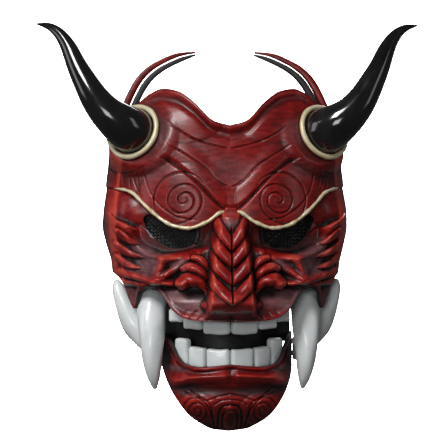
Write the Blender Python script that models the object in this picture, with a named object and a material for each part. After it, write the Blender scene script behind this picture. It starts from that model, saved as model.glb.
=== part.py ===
"""Horned demon face mask with a hinged lower jaw.

The frame: +X is the viewer's right, the face looks towards -Y and +Z is up.
The origin is the centre of the rear opening, at the height of the eyes.
Sizes are in millimetres; solid() turns them into metres.
The left half is modelled at negative X and the right half mirrors it.
"""
import math

import bmesh
import bpy
import numpy as np
from mathutils import Matrix, Vector

MM = 0.001

# Overall sizes. Outlines below are drawn for DRAWN_* and follow these three.
HALF_WIDTH = 97.0
DEPTH = 94.0
HEIGHT_ABOVE_EYES = 96.0
DRAWN_HALF_WIDTH = 97.0
DRAWN_DEPTH = 94.0
DRAWN_HEIGHT_ABOVE_EYES = 96.0
SCALE = np.array((HALF_WIDTH / DRAWN_HALF_WIDTH, DEPTH / DRAWN_DEPTH,
                  HEIGHT_ABOVE_EYES / DRAWN_HEIGHT_ABOVE_EYES))

GAP = 0.35              # clearance between pieces that touch
FACE_WALL = 3.6
JAW_WALL = 3.2
SECTION_POWER = 2.4     # roundness of a level cut through the mask
JAW_POWER = 3.0

# Horns, their collars and what holds them.
HORN_SEAT = (71.6, 62.0)            # x, z of the ring's centre
HORN_NORMAL = (0.50, -0.78, 0.36)
HORN_BASE_RADIUS = 18.0
COLLAR_THICKNESS = 4.0
COLLAR_CLEARANCE = 0.4
SEAT_RISE = 4.0                     # how far the flat horn seat stands off the plain section
SEAT_BLEND = 12.0                   # width of the shoulder round the flat horn seat
SCREW_RADIUS = 2.0
SCREW_LENGTH = 16.0
SCREW_HEAD_RADIUS = 4.5
SCREW_HEAD_HEIGHT = 3.0
WASHER_RADIUS = 8.0
WASHER_THICKNESS = 1.2
SCREW_CLEARANCE = 0.5

# Eyes and mouth.
SCREEN_THICKNESS = 1.0
EYE_SCREEN_GAP = 3.4
SIDE_LEAN = 0.85                    # how square the shell stands to Y round the eyes
SCREEN_MARGIN = 3.0
EYE_FLOOR_Y = -73.0
EYE_FLOOR_SLOPE = 0.36
GUM_DEPTH = 7.0
TOOTH_DEPTH = 7.0
TOOTH_GAP = 0.5
TOOTH_ROUNDING = 1.8
TUSK_CLEARANCE = 0.6
UPPER_TEETH = ((0.2, 20.2, -89.0), (20.6, 34.4, -85.6), (34.8, 44.2, -81.0))      # near x, far x, tip z
LOWER_TEETH = ((0.2, 17.4, -100.0), (17.8, 29.9, -99.0), (30.3, 39.4, -93.0))
UPPER_GUM_Z = (-70.0, -62.0)
LOWER_GUM_Z = (-124.0, -116.0)
UPPER_ARCH = (-90.0, 0.0098)       # y of the middle of the row, and how fast it curves back
LOWER_ARCH = (-82.0, 0.0135)
SCREEN_ARCH = (-60.0, 0.0110)
GUM_HALF_SPAN = 42.0
MOUTH_SCREEN_EDGE = ((0.0, -126.0), (40.5, -126.0), (43.5, -96.0), (49.5, -96.0))     # x, z of its lower edge
MOUTH_SCREEN_TOP = -56.0

# Jaw hinge.
HINGE_Y = -22.0
HINGE_Z = -38.0
PIN_RADIUS = 2.2
PIN_CLEARANCE = 0.3
PIN_HEAD = (5.0, 2.5)               # radius and height
PIN_WALL_GAP = 1.6                  # space between a pin's flange and the curved side wall
PIVOT_INSET = 6.0                   # how far inside the side wall the arms turn
ARM_THICKNESS = 3.0
ARM_WIDTH = 12.0
LUG_RADIUS = 8.0
ARM_FOOT = (-24.5, -109.5)          # y, z of the rivet through the arm and the jaw
ARM_KNEE = (-67.0, -24.0, -86.0)    # where the left arm bends
ARM_STEPS = 16

# Bands behind the horns.
BAND_FRONT_Y = -16.0
BAND_REAR_Y = -3.0
BAND_FOOT_Z = 58.0
BAND_SPLIT = 0.45                   # share of a band's thickness that is lining
BAND_OUTER_X = [(0.15, 84), (0.3, 77.5), (0.45, 71), (0.6, 61), (0.72, 51), (0.86, 37), (1, 23.5)]
BAND_OUTER_Z = [(0, BAND_FOOT_Z), (0.15, 78), (0.3, 94), (0.45, 106), (0.6, 116), (0.72, 121.5), (0.86, 127),
                (1, 128)]
BAND_INNER_X = [(0, 77), (0.15, 72), (0.3, 66), (0.45, 58), (0.6, 49), (0.72, 40), (0.86, 30), (1, 23)]
BAND_INNER_Z = [(0, BAND_FOOT_Z), (0.15, 76), (0.3, 91), (0.45, 104), (0.6, 112), (0.72, 117), (0.86, 121.5),
                (1, 124.5)]
BAND_RIVET = (-9.0, 67.0)            # y, z

STRAP_SLOT = (18.0, 4.0)
ANCHOR_SIZE = (2.0, 26.0, 14.0)
RIVET_RADIUS = 1.8
RIVET_HEAD_RADIUS = 3.4
RIVET_HEAD_HEIGHT = 1.4
ANCHOR_RIVET_HEAD = 2.0
SHOULDER = 0.01                     # length of the step between a shaft and its head
ANCHOR_PLACE = (-15.0, 14.0)        # y, z of the strap anchors' middle
ANCHOR_RELIEF = 1.8                 # space between an anchor and the curved wall behind it
PAD_THICKNESS = 8.0
FOREHEAD_PAD_LIFT = 4.0
CHEEK_PAD_LIFT = 15.0


# ---------------------------------------------------------------- curves and the face surface

def profile(points):
    """A smooth curve through (position, value) points that does not swing past them."""
    at, value = np.array(points, float).T
    slope = np.diff(value) / np.diff(at)
    product = np.maximum(slope[:-1] * slope[1:], 0.0)
    total = np.where(product > 0.0, slope[:-1] + slope[1:], 1.0)
    tangent = np.concatenate(([slope[0]], 2.0 * product / total, [slope[-1]]))

    def read(x):
        x = np.clip(x, at[0], at[-1])
        i = np.clip(np.searchsorted(at, x, side="right") - 1, 0, len(at) - 2)
        step = at[i + 1] - at[i]
        s = (x - at[i]) / step
        rise = value[i] * (1 + 2 * s) * (1 - s) ** 2 + value[i + 1] * s * s * (3 - 2 * s)
        return rise + tangent[i] * step * s * (1 - s) ** 2 + tangent[i + 1] * step * s * s * (s - 1)

    return read


def fade(low, high, x):
    """0 at low, 1 at high, smooth between; low may be above high."""
    s = np.clip((x - low) / (high - low), 0.0, 1.0)
    return s * s * (3.0 - 2.0 * s)


FACE_WIDTH = profile([(-80, 86), (-50, 89), (-37, 90.5), (-25, 94), (-10, 97), (0, 96.5), (19, 94),
                      (50, 91), (62, 93.5), (78, 90), (96, 83)])
FACE_DEPTH = profile([(-80, 94), (-45, 92), (0, 88), (40, 84), (70, 76), (96, 65)])
FACE_LOWER_EDGE = profile([(0, -80), (34, -78.5), (43.5, -75), (48, -66), (54, -57.5), (62, -55.5), (69.5, -58),
                           (73.5, -69), (76, -64), (80, -54), (84, -48.5), (88, -46)])
FACE_UPPER_EDGE = profile([(0, 67.5), (12, 71), (28, 86), (40, 94), (50, 96), (60, 92), (70, 84), (80, 78),
                           (90, 76)])
JAW_HALF_WIDTH = 52.0
JAW_DEPTH = profile([(-165, 66), (-152, 80), (-138, 89), (-120, 91), (-103, 88)])
JAW_LOWER_EDGE = profile([(0, -165), (13, -163), (22, -158), (31, -151), (38, -142.5), (44, -133.5),
                          (48, -125), (51, -117)])
JAW_UPPER_EDGE = profile([(0, -111.5), (26, -113.5), (34, -112), (42, -107), (48, -102.5), (52, -100)])
JAW_REAR_TURN = 0.87        # the jaw's sides stop short of the section's rear end

BROW_EDGE = profile([(5.8, 3), (18, -4.5), (32, -9), (42, -7.5), (49.5, -4), (59, 3.5), (67, 11), (73, 17),
                     (80, 19.5), (91, 20.6)])
BROW_TOP = profile([(0, 3), (6, 5), (19, 19), (31.5, 31), (46, 40.5), (60, 46.5), (75, 44), (92, 36)])
CHEEK_TOP = profile([(20, -24), (38, -31), (49.5, -30), (58, -25), (68, -20), (85, -6), (95, 2)])
NOSE_HEIGHT = profile([(-76, 0), (-71, 16), (-64, 25), (-50, 22), (-20, 12), (0, 5), (8, 0)])


def section_table(power, half_width, depth):
    """Points of a level cut, evenly spaced along it, as shares of the half width and depth."""
    angle = np.linspace(0.0, math.pi / 2, 2001)
    across = np.sin(angle) ** (2 / power)
    forward = np.cos(angle) ** (2 / power)
    run = np.hypot(np.diff(across) * half_width, np.diff(forward) * depth)
    length = np.concatenate(([0.0], np.cumsum(run)))
    return length / length[-1], across, forward


FACE_SECTION = section_table(SECTION_POWER, DRAWN_HALF_WIDTH, DRAWN_DEPTH)
JAW_SECTION = section_table(JAW_POWER, JAW_HALF_WIDTH, DRAWN_DEPTH)


def section(turn, table=FACE_SECTION):
    """turn runs from -1 at the left rear edge to 1 at the right rear edge."""
    at, across, forward = table
    share = np.abs(turn)
    return np.sign(turn) * np.interp(share, at, across), np.interp(share, at, forward)


def turn_at(across):
    """The turn at which the face's section reaches a share of the half width."""
    at, table, _ = FACE_SECTION
    return float(np.interp(abs(across), table, at))


def edge_height(edge, width, across):
    """Where the column at this share of the width meets a front-view outline."""
    z = np.zeros_like(across)
    for _ in range(12):
        z = edge(np.abs(across) * width(z))
    return z


def ellipse_bump(x, z, centre, radii, height):
    """A rounded swelling."""
    spread = ((x - centre[0]) / radii[0]) ** 2 + ((z - centre[1]) / radii[1]) ** 2
    return height * np.clip(1.0 - spread, 0.0, 1.0) ** 0.8


def face_relief(x, z):
    """How far the face stands forward of its plain section, at drawn x and z."""
    x = np.abs(x)
    nose = NOSE_HEIGHT(z) * fade(22, 8, x)
    wing = ellipse_bump(x, z, (28, -53), (14, 15), 15)
    brow = 5.0 * fade(-3, 3, z - BROW_EDGE(x)) * fade(4, -6, z - BROW_TOP(x)) * fade(95, 76, x)
    below_brow = fade(1, -5, z - BROW_EDGE(x))
    above_cheek = fade(-4, 4, z - CHEEK_TOP(x))
    socket = -9.0 * below_brow * above_cheek * fade(14, 24, x) * fade(92, 62, x)
    cheek = 6.0 * fade(4, -4, z - CHEEK_TOP(x)) * fade(-60, -50, z) * fade(40, 56, x) * fade(97, 80, x)
    muzzle = 5.0 * fade(-55, -68, z) * fade(66, 40, x)
    return np.maximum(nose, wing) + brow + socket + cheek + muzzle


def seat_height(x, z):
    """The flat horn seat's drawn y at x and z."""
    normal_x, normal_y, normal_z = HORN_NORMAL
    lean = normal_x * (np.abs(x) - HORN_SEAT[0]) + normal_z * (z - HORN_SEAT[1])
    return horn_seat_y() + lean / -normal_y


def plain_y(x, z):
    """The plain section's drawn y, without any relief."""
    share = abs(x) / FACE_WIDTH(z)
    return float(-FACE_DEPTH(z) * (1 - share ** SECTION_POWER) ** (1 / SECTION_POWER))


def horn_seat_y():
    """The plain section's y under the ring's centre, raised by the seat."""
    return plain_y(*HORN_SEAT) - SEAT_RISE


def collar_outer_radius():
    """The ring's outer radius, which fits round the horn's base."""
    return HORN_BASE_RADIUS + COLLAR_CLEARANCE + COLLAR_THICKNESS


def eye_floor(x):
    """The drawn y of the flat bottom of an eye socket."""
    return EYE_FLOOR_Y + EYE_FLOOR_SLOPE * (np.abs(x) - 43.0)


def eye_outline(grow=0.0):
    """The eye opening as seen from the front, spread outwards by grow."""
    points = [(26, -13.5), (34, -14.5), (44, -12), (54, -6.5), (61, -2), (64, -5), (60, -13), (52, -21),
              (43, -25.5), (34, -25), (27, -19)]
    middle = np.mean(points, axis=0)
    spread = np.array(points) - middle
    return middle + spread * (1 + grow / np.linalg.norm(spread, axis=1)[:, None])


def face_point(turn, height):
    """The face's outer surface; height runs from 0 at the lower edge to 1 at the upper one."""
    across, forward = section(turn)
    low = edge_height(FACE_LOWER_EDGE, FACE_WIDTH, across)
    high = edge_height(FACE_UPPER_EDGE, FACE_WIDTH, across)
    z = low + (high - low) * height
    x = across * FACE_WIDTH(z)
    y = -forward * FACE_DEPTH(z) - face_relief(x, z) * fade(0.0, 0.35, forward)
    eye = 1.0 - fade(0.9, 1.5, np.hypot((np.abs(x) - 44) / 25, (z + 14) / 14))
    y = y * (1 - eye) + np.maximum(y, eye_floor(x)) * eye
    reach = np.hypot(np.abs(x) - HORN_SEAT[0], z - HORN_SEAT[1])
    seat = fade(collar_outer_radius() + SEAT_BLEND, collar_outer_radius(), reach) * fade(0.1, 0.34, forward)
    y = y * (1 - seat) + seat_height(x, z) * seat
    return np.stack((x, np.minimum(y, 0.0), z), axis=-1) * SCALE


def jaw_point(turn, height):
    """The jaw's outer surface, from the chin's lower edge to the lip."""
    across, forward = section(turn * JAW_REAR_TURN, JAW_SECTION)
    x = across * JAW_HALF_WIDTH
    low = JAW_LOWER_EDGE(np.abs(x))
    z = low + (JAW_UPPER_EDGE(np.abs(x)) - low) * height
    lip = 3.5 * fade(-126, -119, z) * fade(-108, -114, z) * fade(50, 30, np.abs(x))
    y = -forward * JAW_DEPTH(z) - lip
    return np.stack((x, y, z), axis=-1) * SCALE


def face_y(x, z):
    """The face's outer y, in millimetres, at a drawn x and z."""
    across = x / FACE_WIDTH(z)
    turn = turn_at(across)
    low = edge_height(FACE_LOWER_EDGE, FACE_WIDTH, np.array([across]))[0]
    high = edge_height(FACE_UPPER_EDGE, FACE_WIDTH, np.array([across]))[0]
    return float(face_point(np.array([turn]), np.array([(z - low) / (high - low)]))[0][1])


# ---------------------------------------------------------------- building pieces

def material(name, colour, roughness, metallic=0.0):
    """A Principled material, made once for each name."""
    found = bpy.data.materials.get(name)
    if found:
        return found
    made = bpy.data.materials.new(name)
    made.use_nodes = True
    shader = made.node_tree.nodes["Principled BSDF"]
    shader.inputs["Base Color"].default_value = (*colour, 1.0)
    shader.inputs["Roughness"].default_value = roughness
    shader.inputs["Metallic"].default_value = metallic
    return made


def red_lacquer():
    return material("red_lacquer", (0.22, 0.02, 0.02), 0.4)


def horn_black():
    return material("horn_black", (0.01, 0.01, 0.012), 0.12)


def gilt():
    return material("gilt", (0.65, 0.48, 0.2), 0.4)


def ivory():
    return material("ivory", (0.75, 0.77, 0.74), 0.3)


def black_mesh():
    return material("black_mesh", (0.015, 0.015, 0.018), 0.6)


def dark_lining():
    return material("dark_lining", (0.05, 0.05, 0.055), 0.7)


def steel():
    return material("steel", (0.5, 0.5, 0.52), 0.3, 1.0)


def foam():
    return material("foam", (0.03, 0.03, 0.035), 0.9)


def solid(name, vertices, faces, look, smooth_angle=40.0):
    """One object from points in millimetres, with its faces turned outwards."""
    mesh = bpy.data.meshes.new(name)
    mesh.from_pydata([tuple(float(v) * MM for v in p) for p in vertices], [], faces)
    work = bmesh.new()
    work.from_mesh(mesh)
    bmesh.ops.recalc_face_normals(work, faces=work.faces)
    work.to_mesh(mesh)
    work.free()
    mesh.shade_smooth()
    mesh.set_sharp_from_angle(angle=math.radians(smooth_angle))
    made = bpy.data.objects.new(name, mesh)
    bpy.context.scene.collection.objects.link(made)
    mesh.materials.append(look)
    return made


def move_origin(piece, point):
    """Puts an object's origin on a point in millimetres and leaves its shape in place."""
    shift = Vector(point) * MM
    piece.data.transform(Matrix.Translation(-shift))
    piece.matrix_world = Matrix.Translation(shift) @ piece.matrix_world


def mirrored(piece, name):
    """The right-hand copy of a left-hand piece, as its own mesh."""
    vertices = [(-v.co.x / MM, v.co.y / MM, v.co.z / MM) for v in piece.data.vertices]
    faces = [tuple(reversed(f.vertices)) for f in piece.data.polygons]
    return solid(name, vertices, faces, piece.data.materials[0])


def cutter(name, vertices, faces):
    """A solid that only cuts, and is never part of the model."""
    made = solid(name, vertices, faces, steel())
    made.hide_render = True
    made.display_type = "WIRE"
    return made


def cut(piece, tool, operation="DIFFERENCE"):
    """An exact Boolean that stays on the piece."""
    modifier = piece.modifiers.new(tool.name, "BOOLEAN")
    modifier.operation = operation
    modifier.solver = "EXACT"
    modifier.object = tool


def bridged(loops, close_ends=True):
    """Vertices and faces of a skin over closed loops of equal length."""
    count = len(loops[0])
    vertices = [p for loop in loops for p in loop]
    faces = []
    for row in range(len(loops) - 1):
        for i in range(count):
            j = (i + 1) % count
            faces.append((row * count + i, row * count + j, (row + 1) * count + j, (row + 1) * count + i))
    if close_ends:
        faces.append(tuple(range(count - 1, -1, -1)))
        faces.append(tuple((len(loops) - 1) * count + i for i in range(count)))
    return vertices, faces


def frame_across(normal):
    """Two directions square to a normal and to each other."""
    normal = Vector(normal).normalized()
    side = normal.cross(Vector((0, 0, 1)))
    if side.length < 0.1:
        side = normal.cross(Vector((0, 1, 0)))
    side.normalize()
    return side, normal.cross(side)


def turned(centre, axis, outline, sides=20):
    """Loops of a solid turned about an axis, from (distance along the axis, radius) points."""
    side, up = frame_across(axis)
    axis = Vector(axis).normalized()
    loops = []
    for along, radius in outline:
        middle = Vector(centre) + axis * along
        loops.append([middle + side * (radius * math.cos(a)) + up * (radius * math.sin(a))
                      for a in (2 * math.pi * k / sides for k in range(sides))])
    return bridged(loops)


def ring(centre, axis, outline, sides):
    """A closed ring turned about an axis, from a closed (distance along, radius) outline."""
    side, up = frame_across(axis)
    axis = Vector(axis).normalized()
    count = len(outline)
    vertices = []
    faces = []
    for k in range(sides):
        a = 2 * math.pi * k / sides
        out = side * math.cos(a) + up * math.sin(a)
        vertices += [Vector(centre) + axis * along + out * radius for along, radius in outline]
        for i in range(count):
            j = (i + 1) % count
            n = (k + 1) % sides
            faces.append((k * count + i, k * count + j, n * count + j, n * count + i))
    return vertices, faces


def smooth_path(points, count):
    """count points on a smooth curve through 3-D points, even in the given points' spacing."""
    points = np.array(points, float)
    run = np.concatenate(([0.0], np.cumsum(np.linalg.norm(np.diff(points, axis=0), axis=1))))
    at = np.linspace(0.0, run[-1], count)
    return np.stack([profile(list(zip(run, points[:, k])))(at) for k in range(3)], axis=1)


def swept(path, radii, sides=16, flatten=1.0):
    """A round bar along a path; flatten squeezes it front to back."""
    path = [Vector(p) for p in path]
    loops = []
    side = None
    for i, point in enumerate(path):
        ahead = (path[min(i + 1, len(path) - 1)] - path[max(i - 1, 0)]).normalized()
        side = frame_across(ahead)[0] if side is None else (side - ahead * side.dot(ahead)).normalized()
        up = ahead.cross(side)
        loops.append([point + (side * math.cos(a) + up * (flatten * math.sin(a))) * radii[i]
                      for a in (2 * math.pi * k / sides for k in range(sides))])
    return bridged(loops)


def inwards(turn):
    """The direction from the outer surface to the inner one, level and square to the section."""
    across, forward = section(turn)
    inward = np.stack((-np.sign(across) * np.abs(across) ** (SECTION_POWER - 1),
                       np.maximum(forward, 1e-6) ** (SECTION_POWER - 1), np.zeros_like(across)), axis=-1)
    return inward / np.linalg.norm(inward, axis=-1)[..., None]


def thick_shell(surface, wall, columns, rows):
    """A closed shell between surface(turn, height) and its copy moved inwards by the wall."""
    turn, height = np.meshgrid(np.linspace(-1, 1, columns + 1), np.linspace(0, 1, rows + 1), indexing="ij")
    outer = surface(turn, height)
    inner = outer + inwards(turn) * wall
    inner[..., 1] = np.where(np.abs(turn) > 0.999, outer[..., 1], inner[..., 1])
    vertices = np.concatenate((outer.reshape(-1, 3), inner.reshape(-1, 3)))
    half = outer.shape[0] * outer.shape[1]

    def at(i, j, layer):
        return layer * half + i * (rows + 1) + j

    faces = []
    for i in range(columns):
        for j in range(rows):
            faces.append((at(i, j, 0), at(i + 1, j, 0), at(i + 1, j + 1, 0), at(i, j + 1, 0)))
            faces.append((at(i, j, 1), at(i, j + 1, 1), at(i + 1, j + 1, 1), at(i + 1, j, 1)))
        for j in (0, rows):
            faces.append((at(i, j, 0), at(i + 1, j, 0), at(i + 1, j, 1), at(i, j, 1)))
    for j in range(rows):
        for i in (0, columns):
            faces.append((at(i, j, 0), at(i, j + 1, 0), at(i, j + 1, 1), at(i, j, 1)))
    return vertices, faces


# ---------------------------------------------------------------- the upper mask

def seat_centre():
    """The ring's centre on the left horn seat, in millimetres."""
    return Vector((-HORN_SEAT[0] * SCALE[0], horn_seat_y() * SCALE[1], HORN_SEAT[1] * SCALE[2]))


def seat_axis():
    """The outward normal of the left horn seat, which leans with the overall sizes."""
    normal = Vector((-HORN_NORMAL[0] / SCALE[0], HORN_NORMAL[1] / SCALE[1], HORN_NORMAL[2] / SCALE[2]))
    return normal.normalized()


def flipped(vector):
    """The mirror image of a point or direction."""
    return Vector((-vector[0], vector[1], vector[2]))


def eye_cutters():
    """Two prisms through the socket floors."""
    tools = []
    front, back = (EYE_FLOOR_Y * SCALE[1] + offset for offset in (-30, 25))
    for side in (-1, 1):
        loops = [[(side * x * SCALE[0], y, z * SCALE[2]) for x, z in eye_outline()] for y in (front, back)]
        tools.append(cutter(f"eye_cutter_{side}", *bridged(loops)))
    return tools


def screw_hole_cutters():
    """Two round cutters through the horn seats."""
    reach = FACE_WALL * 4
    tools = []
    for flip in (False, True):
        centre = flipped(seat_centre()) if flip else seat_centre()
        axis = flipped(seat_axis()) if flip else seat_axis()
        outline = [(-reach, SCREW_RADIUS + SCREW_CLEARANCE), (reach, SCREW_RADIUS + SCREW_CLEARANCE)]
        tools.append(cutter(f"seat_cutter_{flip}", *turned(centre, axis, outline, 12)))
    return tools


def make_face_shell():
    """The one-piece casting of forehead, brows, nose, cheeks, upper lip and side walls."""
    shell = solid("face_shell", *thick_shell(face_point, FACE_WALL, 92, 28), red_lacquer(), 30.0)
    for tool in eye_cutters() + screw_hole_cutters():
        cut(shell, tool)
    return shell


def make_brow_trims():
    """The gilt bead along each brow's lower edge."""
    radius = 1.5
    path = []
    for x in np.linspace(7.0, 88.0, 20):
        z = float(BROW_EDGE(x))
        front = min(face_y(x + dx, z + dz) for dx in (-2, 0, 2) for dz in (-2, 0, 2, 4))
        path.append((-x * SCALE[0], front - radius - 1.6, z * SCALE[2]))
    left = solid("left_brow_trim", *swept(path, [radius] * len(path), 6), gilt())
    mirrored(left, "right_brow_trim")


def horn_path():
    """The horn's middle line as steps from the seat: outwards, forwards and up, with radii."""
    offsets = [(0, 0, 0), (8, 10, 5), (20, 14, 14), (29, 13, 25), (36.5, 10, 38), (43.5, 6, 51), (48.5, 2, 63),
               (54.5, -2, 73), (61, -5, 79.5), (67, -7, 82.3), (74, -9, 83)]
    radii = [18.0, 16.6, 13.4, 11.4, 9.6, 7.9, 6.6, 5.0, 3.6, 2.4, 0.7]
    start = seat_centre()
    path = [(start[0] - out, start[1] - ahead, start[2] + up) for out, ahead, up in offsets]
    even = smooth_path(path, 22)
    run = np.concatenate(([0.0], np.cumsum(np.linalg.norm(np.diff(np.array(path), axis=0), axis=1))))
    scale = HORN_BASE_RADIUS / radii[0]
    return even, profile(list(zip(run, radii)))(np.linspace(0, run[-1], 22)) * scale


def make_horns():
    """S-curved horns that stand on the seats; their feet are cut flat on the seat's plane."""
    path, radii = horn_path()
    axis = seat_axis()
    start = seat_centre()
    foot = [start + axis * GAP, start + axis * (COLLAR_THICKNESS + 3.0)]
    ahead = [Vector(p) for p in path if (Vector(p) - foot[1]).dot(axis) > 4.0]
    kept = [r for p, r in zip(path, radii) if (Vector(p) - foot[1]).dot(axis) > 4.0]
    points = foot + ahead
    sizes = [HORN_BASE_RADIUS, HORN_BASE_RADIUS * 0.985] + kept
    left = solid("left_horn", *swept_from(points, sizes, axis, 16), horn_black())
    right = mirrored(left, "right_horn")
    hole = [(-GAP, SCREW_RADIUS + SCREW_CLEARANCE), (SCREW_LENGTH - FACE_WALL, SCREW_RADIUS + SCREW_CLEARANCE)]
    for piece, centre, way in ((left, start, axis), (right, flipped(start), flipped(axis))):
        tool = cutter(piece.name + "_cutter", *turned(centre, way, hole, 12))
        cut(piece, tool)


def swept_from(points, sizes, axis, sides):
    """A round bar whose first two loops are square to an axis, and the rest to its path."""
    loops = []
    side = frame_across(axis)[0]
    for i, point in enumerate(points):
        ahead = axis if i < 2 else (points[min(i + 1, len(points) - 1)] - points[i - 1]).normalized()
        side = (side - ahead * side.dot(ahead)).normalized()
        up = ahead.cross(side)
        loops.append([point + (side * math.cos(a) + up * math.sin(a)) * sizes[i]
                      for a in (2 * math.pi * k / sides for k in range(sides))])
    return bridged(loops)


def make_collars():
    """Gilt rings round the horns' feet."""
    inner = HORN_BASE_RADIUS + COLLAR_CLEARANCE
    half = COLLAR_THICKNESS / 2
    outline = [(GAP + half + half * math.cos(a), inner + half + half * math.sin(a))
               for a in (2 * math.pi * k / 8 + math.pi / 8 for k in range(8))]
    left = solid("left_horn_collar", *ring(seat_centre(), seat_axis(), outline, 24), gilt())
    mirrored(left, "right_horn_collar")


def seat_inner_distance():
    """How far behind the seat's front the shell's inner face lies, along the seat's axis."""
    across, forward = section(turn_at(HORN_SEAT[0] / FACE_WIDTH(HORN_SEAT[1])))
    inward = Vector([float(share) ** (SECTION_POWER - 1) for share in (across, forward)] + [0.0])
    return FACE_WALL * abs(inward.normalized().dot(seat_axis()))


def make_horn_screws():
    """A screw and a washer from inside the shell into each horn."""
    axis = seat_axis()
    face = seat_inner_distance() + GAP
    back = face + WASHER_THICKNESS + GAP
    washer = [(-face, SCREW_RADIUS + SCREW_CLEARANCE), (-face, WASHER_RADIUS), (-back + GAP, WASHER_RADIUS),
              (-back + GAP, SCREW_RADIUS + SCREW_CLEARANCE)]
    left = solid("left_horn_washer", *ring(seat_centre(), axis, washer, 20), steel())
    mirrored(left, "right_horn_washer")
    screw = [(-back - SCREW_HEAD_HEIGHT, SCREW_HEAD_RADIUS * 0.7),
             (-back - SCREW_HEAD_HEIGHT * 0.6, SCREW_HEAD_RADIUS), (-back, SCREW_HEAD_RADIUS),
             (-back + SHOULDER, SCREW_RADIUS), (SCREW_LENGTH - FACE_WALL - 1, SCREW_RADIUS)]
    left = solid("left_horn_screw", *turned(seat_centre(), axis, screw, 12), steel())
    mirrored(left, "right_horn_screw")


def clear_of_shell(path, radii):
    """The path moved along Y until its bar stands TUSK_CLEARANCE off the shell round the lip."""
    turn, height = np.meshgrid(np.linspace(-0.75, -0.3, 60), np.linspace(0.0, 0.3, 30), indexing="ij")
    outer = face_point(turn, height)
    wall = np.concatenate((outer, outer + inwards(turn) * FACE_WALL)).reshape(-1, 1, 3)
    too_near, clear = -15.0, 25.0
    while clear - too_near > 0.01:
        shift = (too_near + clear) / 2
        away = np.linalg.norm(wall - (path + (0.0, shift, 0.0)), axis=2) - radii
        if away.min() < TUSK_CLEARANCE:
            too_near = shift
        else:
            clear = shift
    return path + (0.0, clear, 0.0)


def make_front_tusks():
    """The large tusks that hang from behind the upper lip."""
    steps = 16
    path = smooth_path([(-56, -51, -54), (-57.5, -57, -63), (-58.8, -67, -79), (-58.8, -74, -98), (-58.2, -75, -112),
                        (-57.2, -73, -124), (-56.3, -70, -132)], steps) * SCALE
    radii = profile([(0, 9.5), (0.12, 11), (0.3, 11.2), (0.58, 9.2), (0.75, 7.4), (0.9, 4.8), (1, 1.6)])
    sizes = radii(np.linspace(0, 1, steps))
    left = solid("left_front_tusk", *swept(clear_of_shell(path, sizes), sizes, 12), ivory())
    mirrored(left, "right_front_tusk")


def tooth(name, x_low, x_high, z_low, z_high, arch, look):
    """One tooth: a rounded block on the arch, between two x values and two heights."""
    middle = (x_low + x_high) / 2
    turn = math.atan(2 * arch[1] * middle)
    width = (x_high - x_low) * SCALE[0] / math.cos(turn) - TOOTH_GAP
    height = (z_high - z_low) * SCALE[2]
    work = bmesh.new()
    bmesh.ops.create_cube(work, size=1.0)
    size = Matrix.Diagonal((width, TOOTH_DEPTH, height, 1.0))
    place = Matrix.Translation((middle * SCALE[0], arch_y(middle, arch), (z_low + z_high) / 2 * SCALE[2]))
    work.transform(place @ Matrix.Rotation(turn, 4, "Z") @ size)
    work.verts.index_update()
    vertices = [tuple(v.co) for v in work.verts]
    faces = [tuple(v.index for v in f.verts) for f in work.faces]
    work.free()
    made = solid(name, vertices, faces, look)
    bevel = made.modifiers.new("rounding", "BEVEL")
    bevel.width = TOOTH_ROUNDING * MM
    bevel.segments = 2
    bevel.limit_method = "NONE"
    return made


def arch_y(x, arch):
    """The middle line of a row of teeth, in millimetres."""
    front, curve = arch
    return (front + curve * x * x) * SCALE[1]


def make_teeth():
    """Six upper and six lower teeth, from the viewer's left to right."""
    top = UPPER_GUM_Z[0] - GAP
    bottom = LOWER_GUM_Z[1] + GAP
    for order, (near, far, tip) in enumerate(UPPER_TEETH):
        tooth(f"upper_tooth_{3 - order}", -far, -near, tip, top, UPPER_ARCH, ivory())
        tooth(f"upper_tooth_{4 + order}", near, far, tip, top, UPPER_ARCH, ivory())
    for order, (near, far, tip) in enumerate(LOWER_TEETH):
        tooth(f"lower_tooth_{3 - order}", -far, -near, bottom, tip, LOWER_ARCH, ivory())
        tooth(f"lower_tooth_{4 + order}", near, far, bottom, tip, LOWER_ARCH, ivory())


def gum(name, heights, arch):
    """A black strip along the arch that holds a row of teeth."""
    loops = []
    for x in np.linspace(-GUM_HALF_SPAN, GUM_HALF_SPAN, 15):
        y = arch_y(x, arch)
        loops.append([(x * SCALE[0], y + dy, z * SCALE[2]) for dy, z in
                      ((-GUM_DEPTH / 2, heights[0]), (GUM_DEPTH / 2, heights[0]),
                       (GUM_DEPTH / 2, heights[1]), (-GUM_DEPTH / 2, heights[1]))])
    return solid(name, *bridged(loops), dark_lining())


def eye_screen_y(x):
    """The front of an eye screen, a little behind the inside of the shell."""
    return float(eye_floor(x)) * SCALE[1] + FACE_WALL / SIDE_LEAN + EYE_SCREEN_GAP


def make_eye_screens():
    """The perforated plates behind the eye openings."""
    loops = []
    for offset in (0.0, SCREEN_THICKNESS):
        loops.append([(-x * SCALE[0], eye_screen_y(x) + offset, z * SCALE[2]) for x, z in eye_outline(SCREEN_MARGIN)])
    left = solid("left_eye_screen", *bridged(loops), black_mesh())
    mirrored(left, "right_eye_screen")


def make_mouth_screen():
    """The black screen that hangs behind the teeth and the corners of the mouth."""
    edge_x, edge_z = np.array(MOUTH_SCREEN_EDGE).T
    right = np.unique(np.concatenate((np.linspace(0.0, edge_x[1], 7), edge_x)))
    loops = []
    for x in np.concatenate((-right[:0:-1], right)):
        y = arch_y(x, SCREEN_ARCH)
        low = float(np.interp(abs(x), edge_x, edge_z))
        loops.append([(x * SCALE[0], y + dy, z * SCALE[2]) for dy, z in
                      ((0, low), (SCREEN_THICKNESS, low), (SCREEN_THICKNESS, MOUTH_SCREEN_TOP), (0, MOUTH_SCREEN_TOP))])
    solid("mouth_screen", *bridged(loops), black_mesh())


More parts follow.
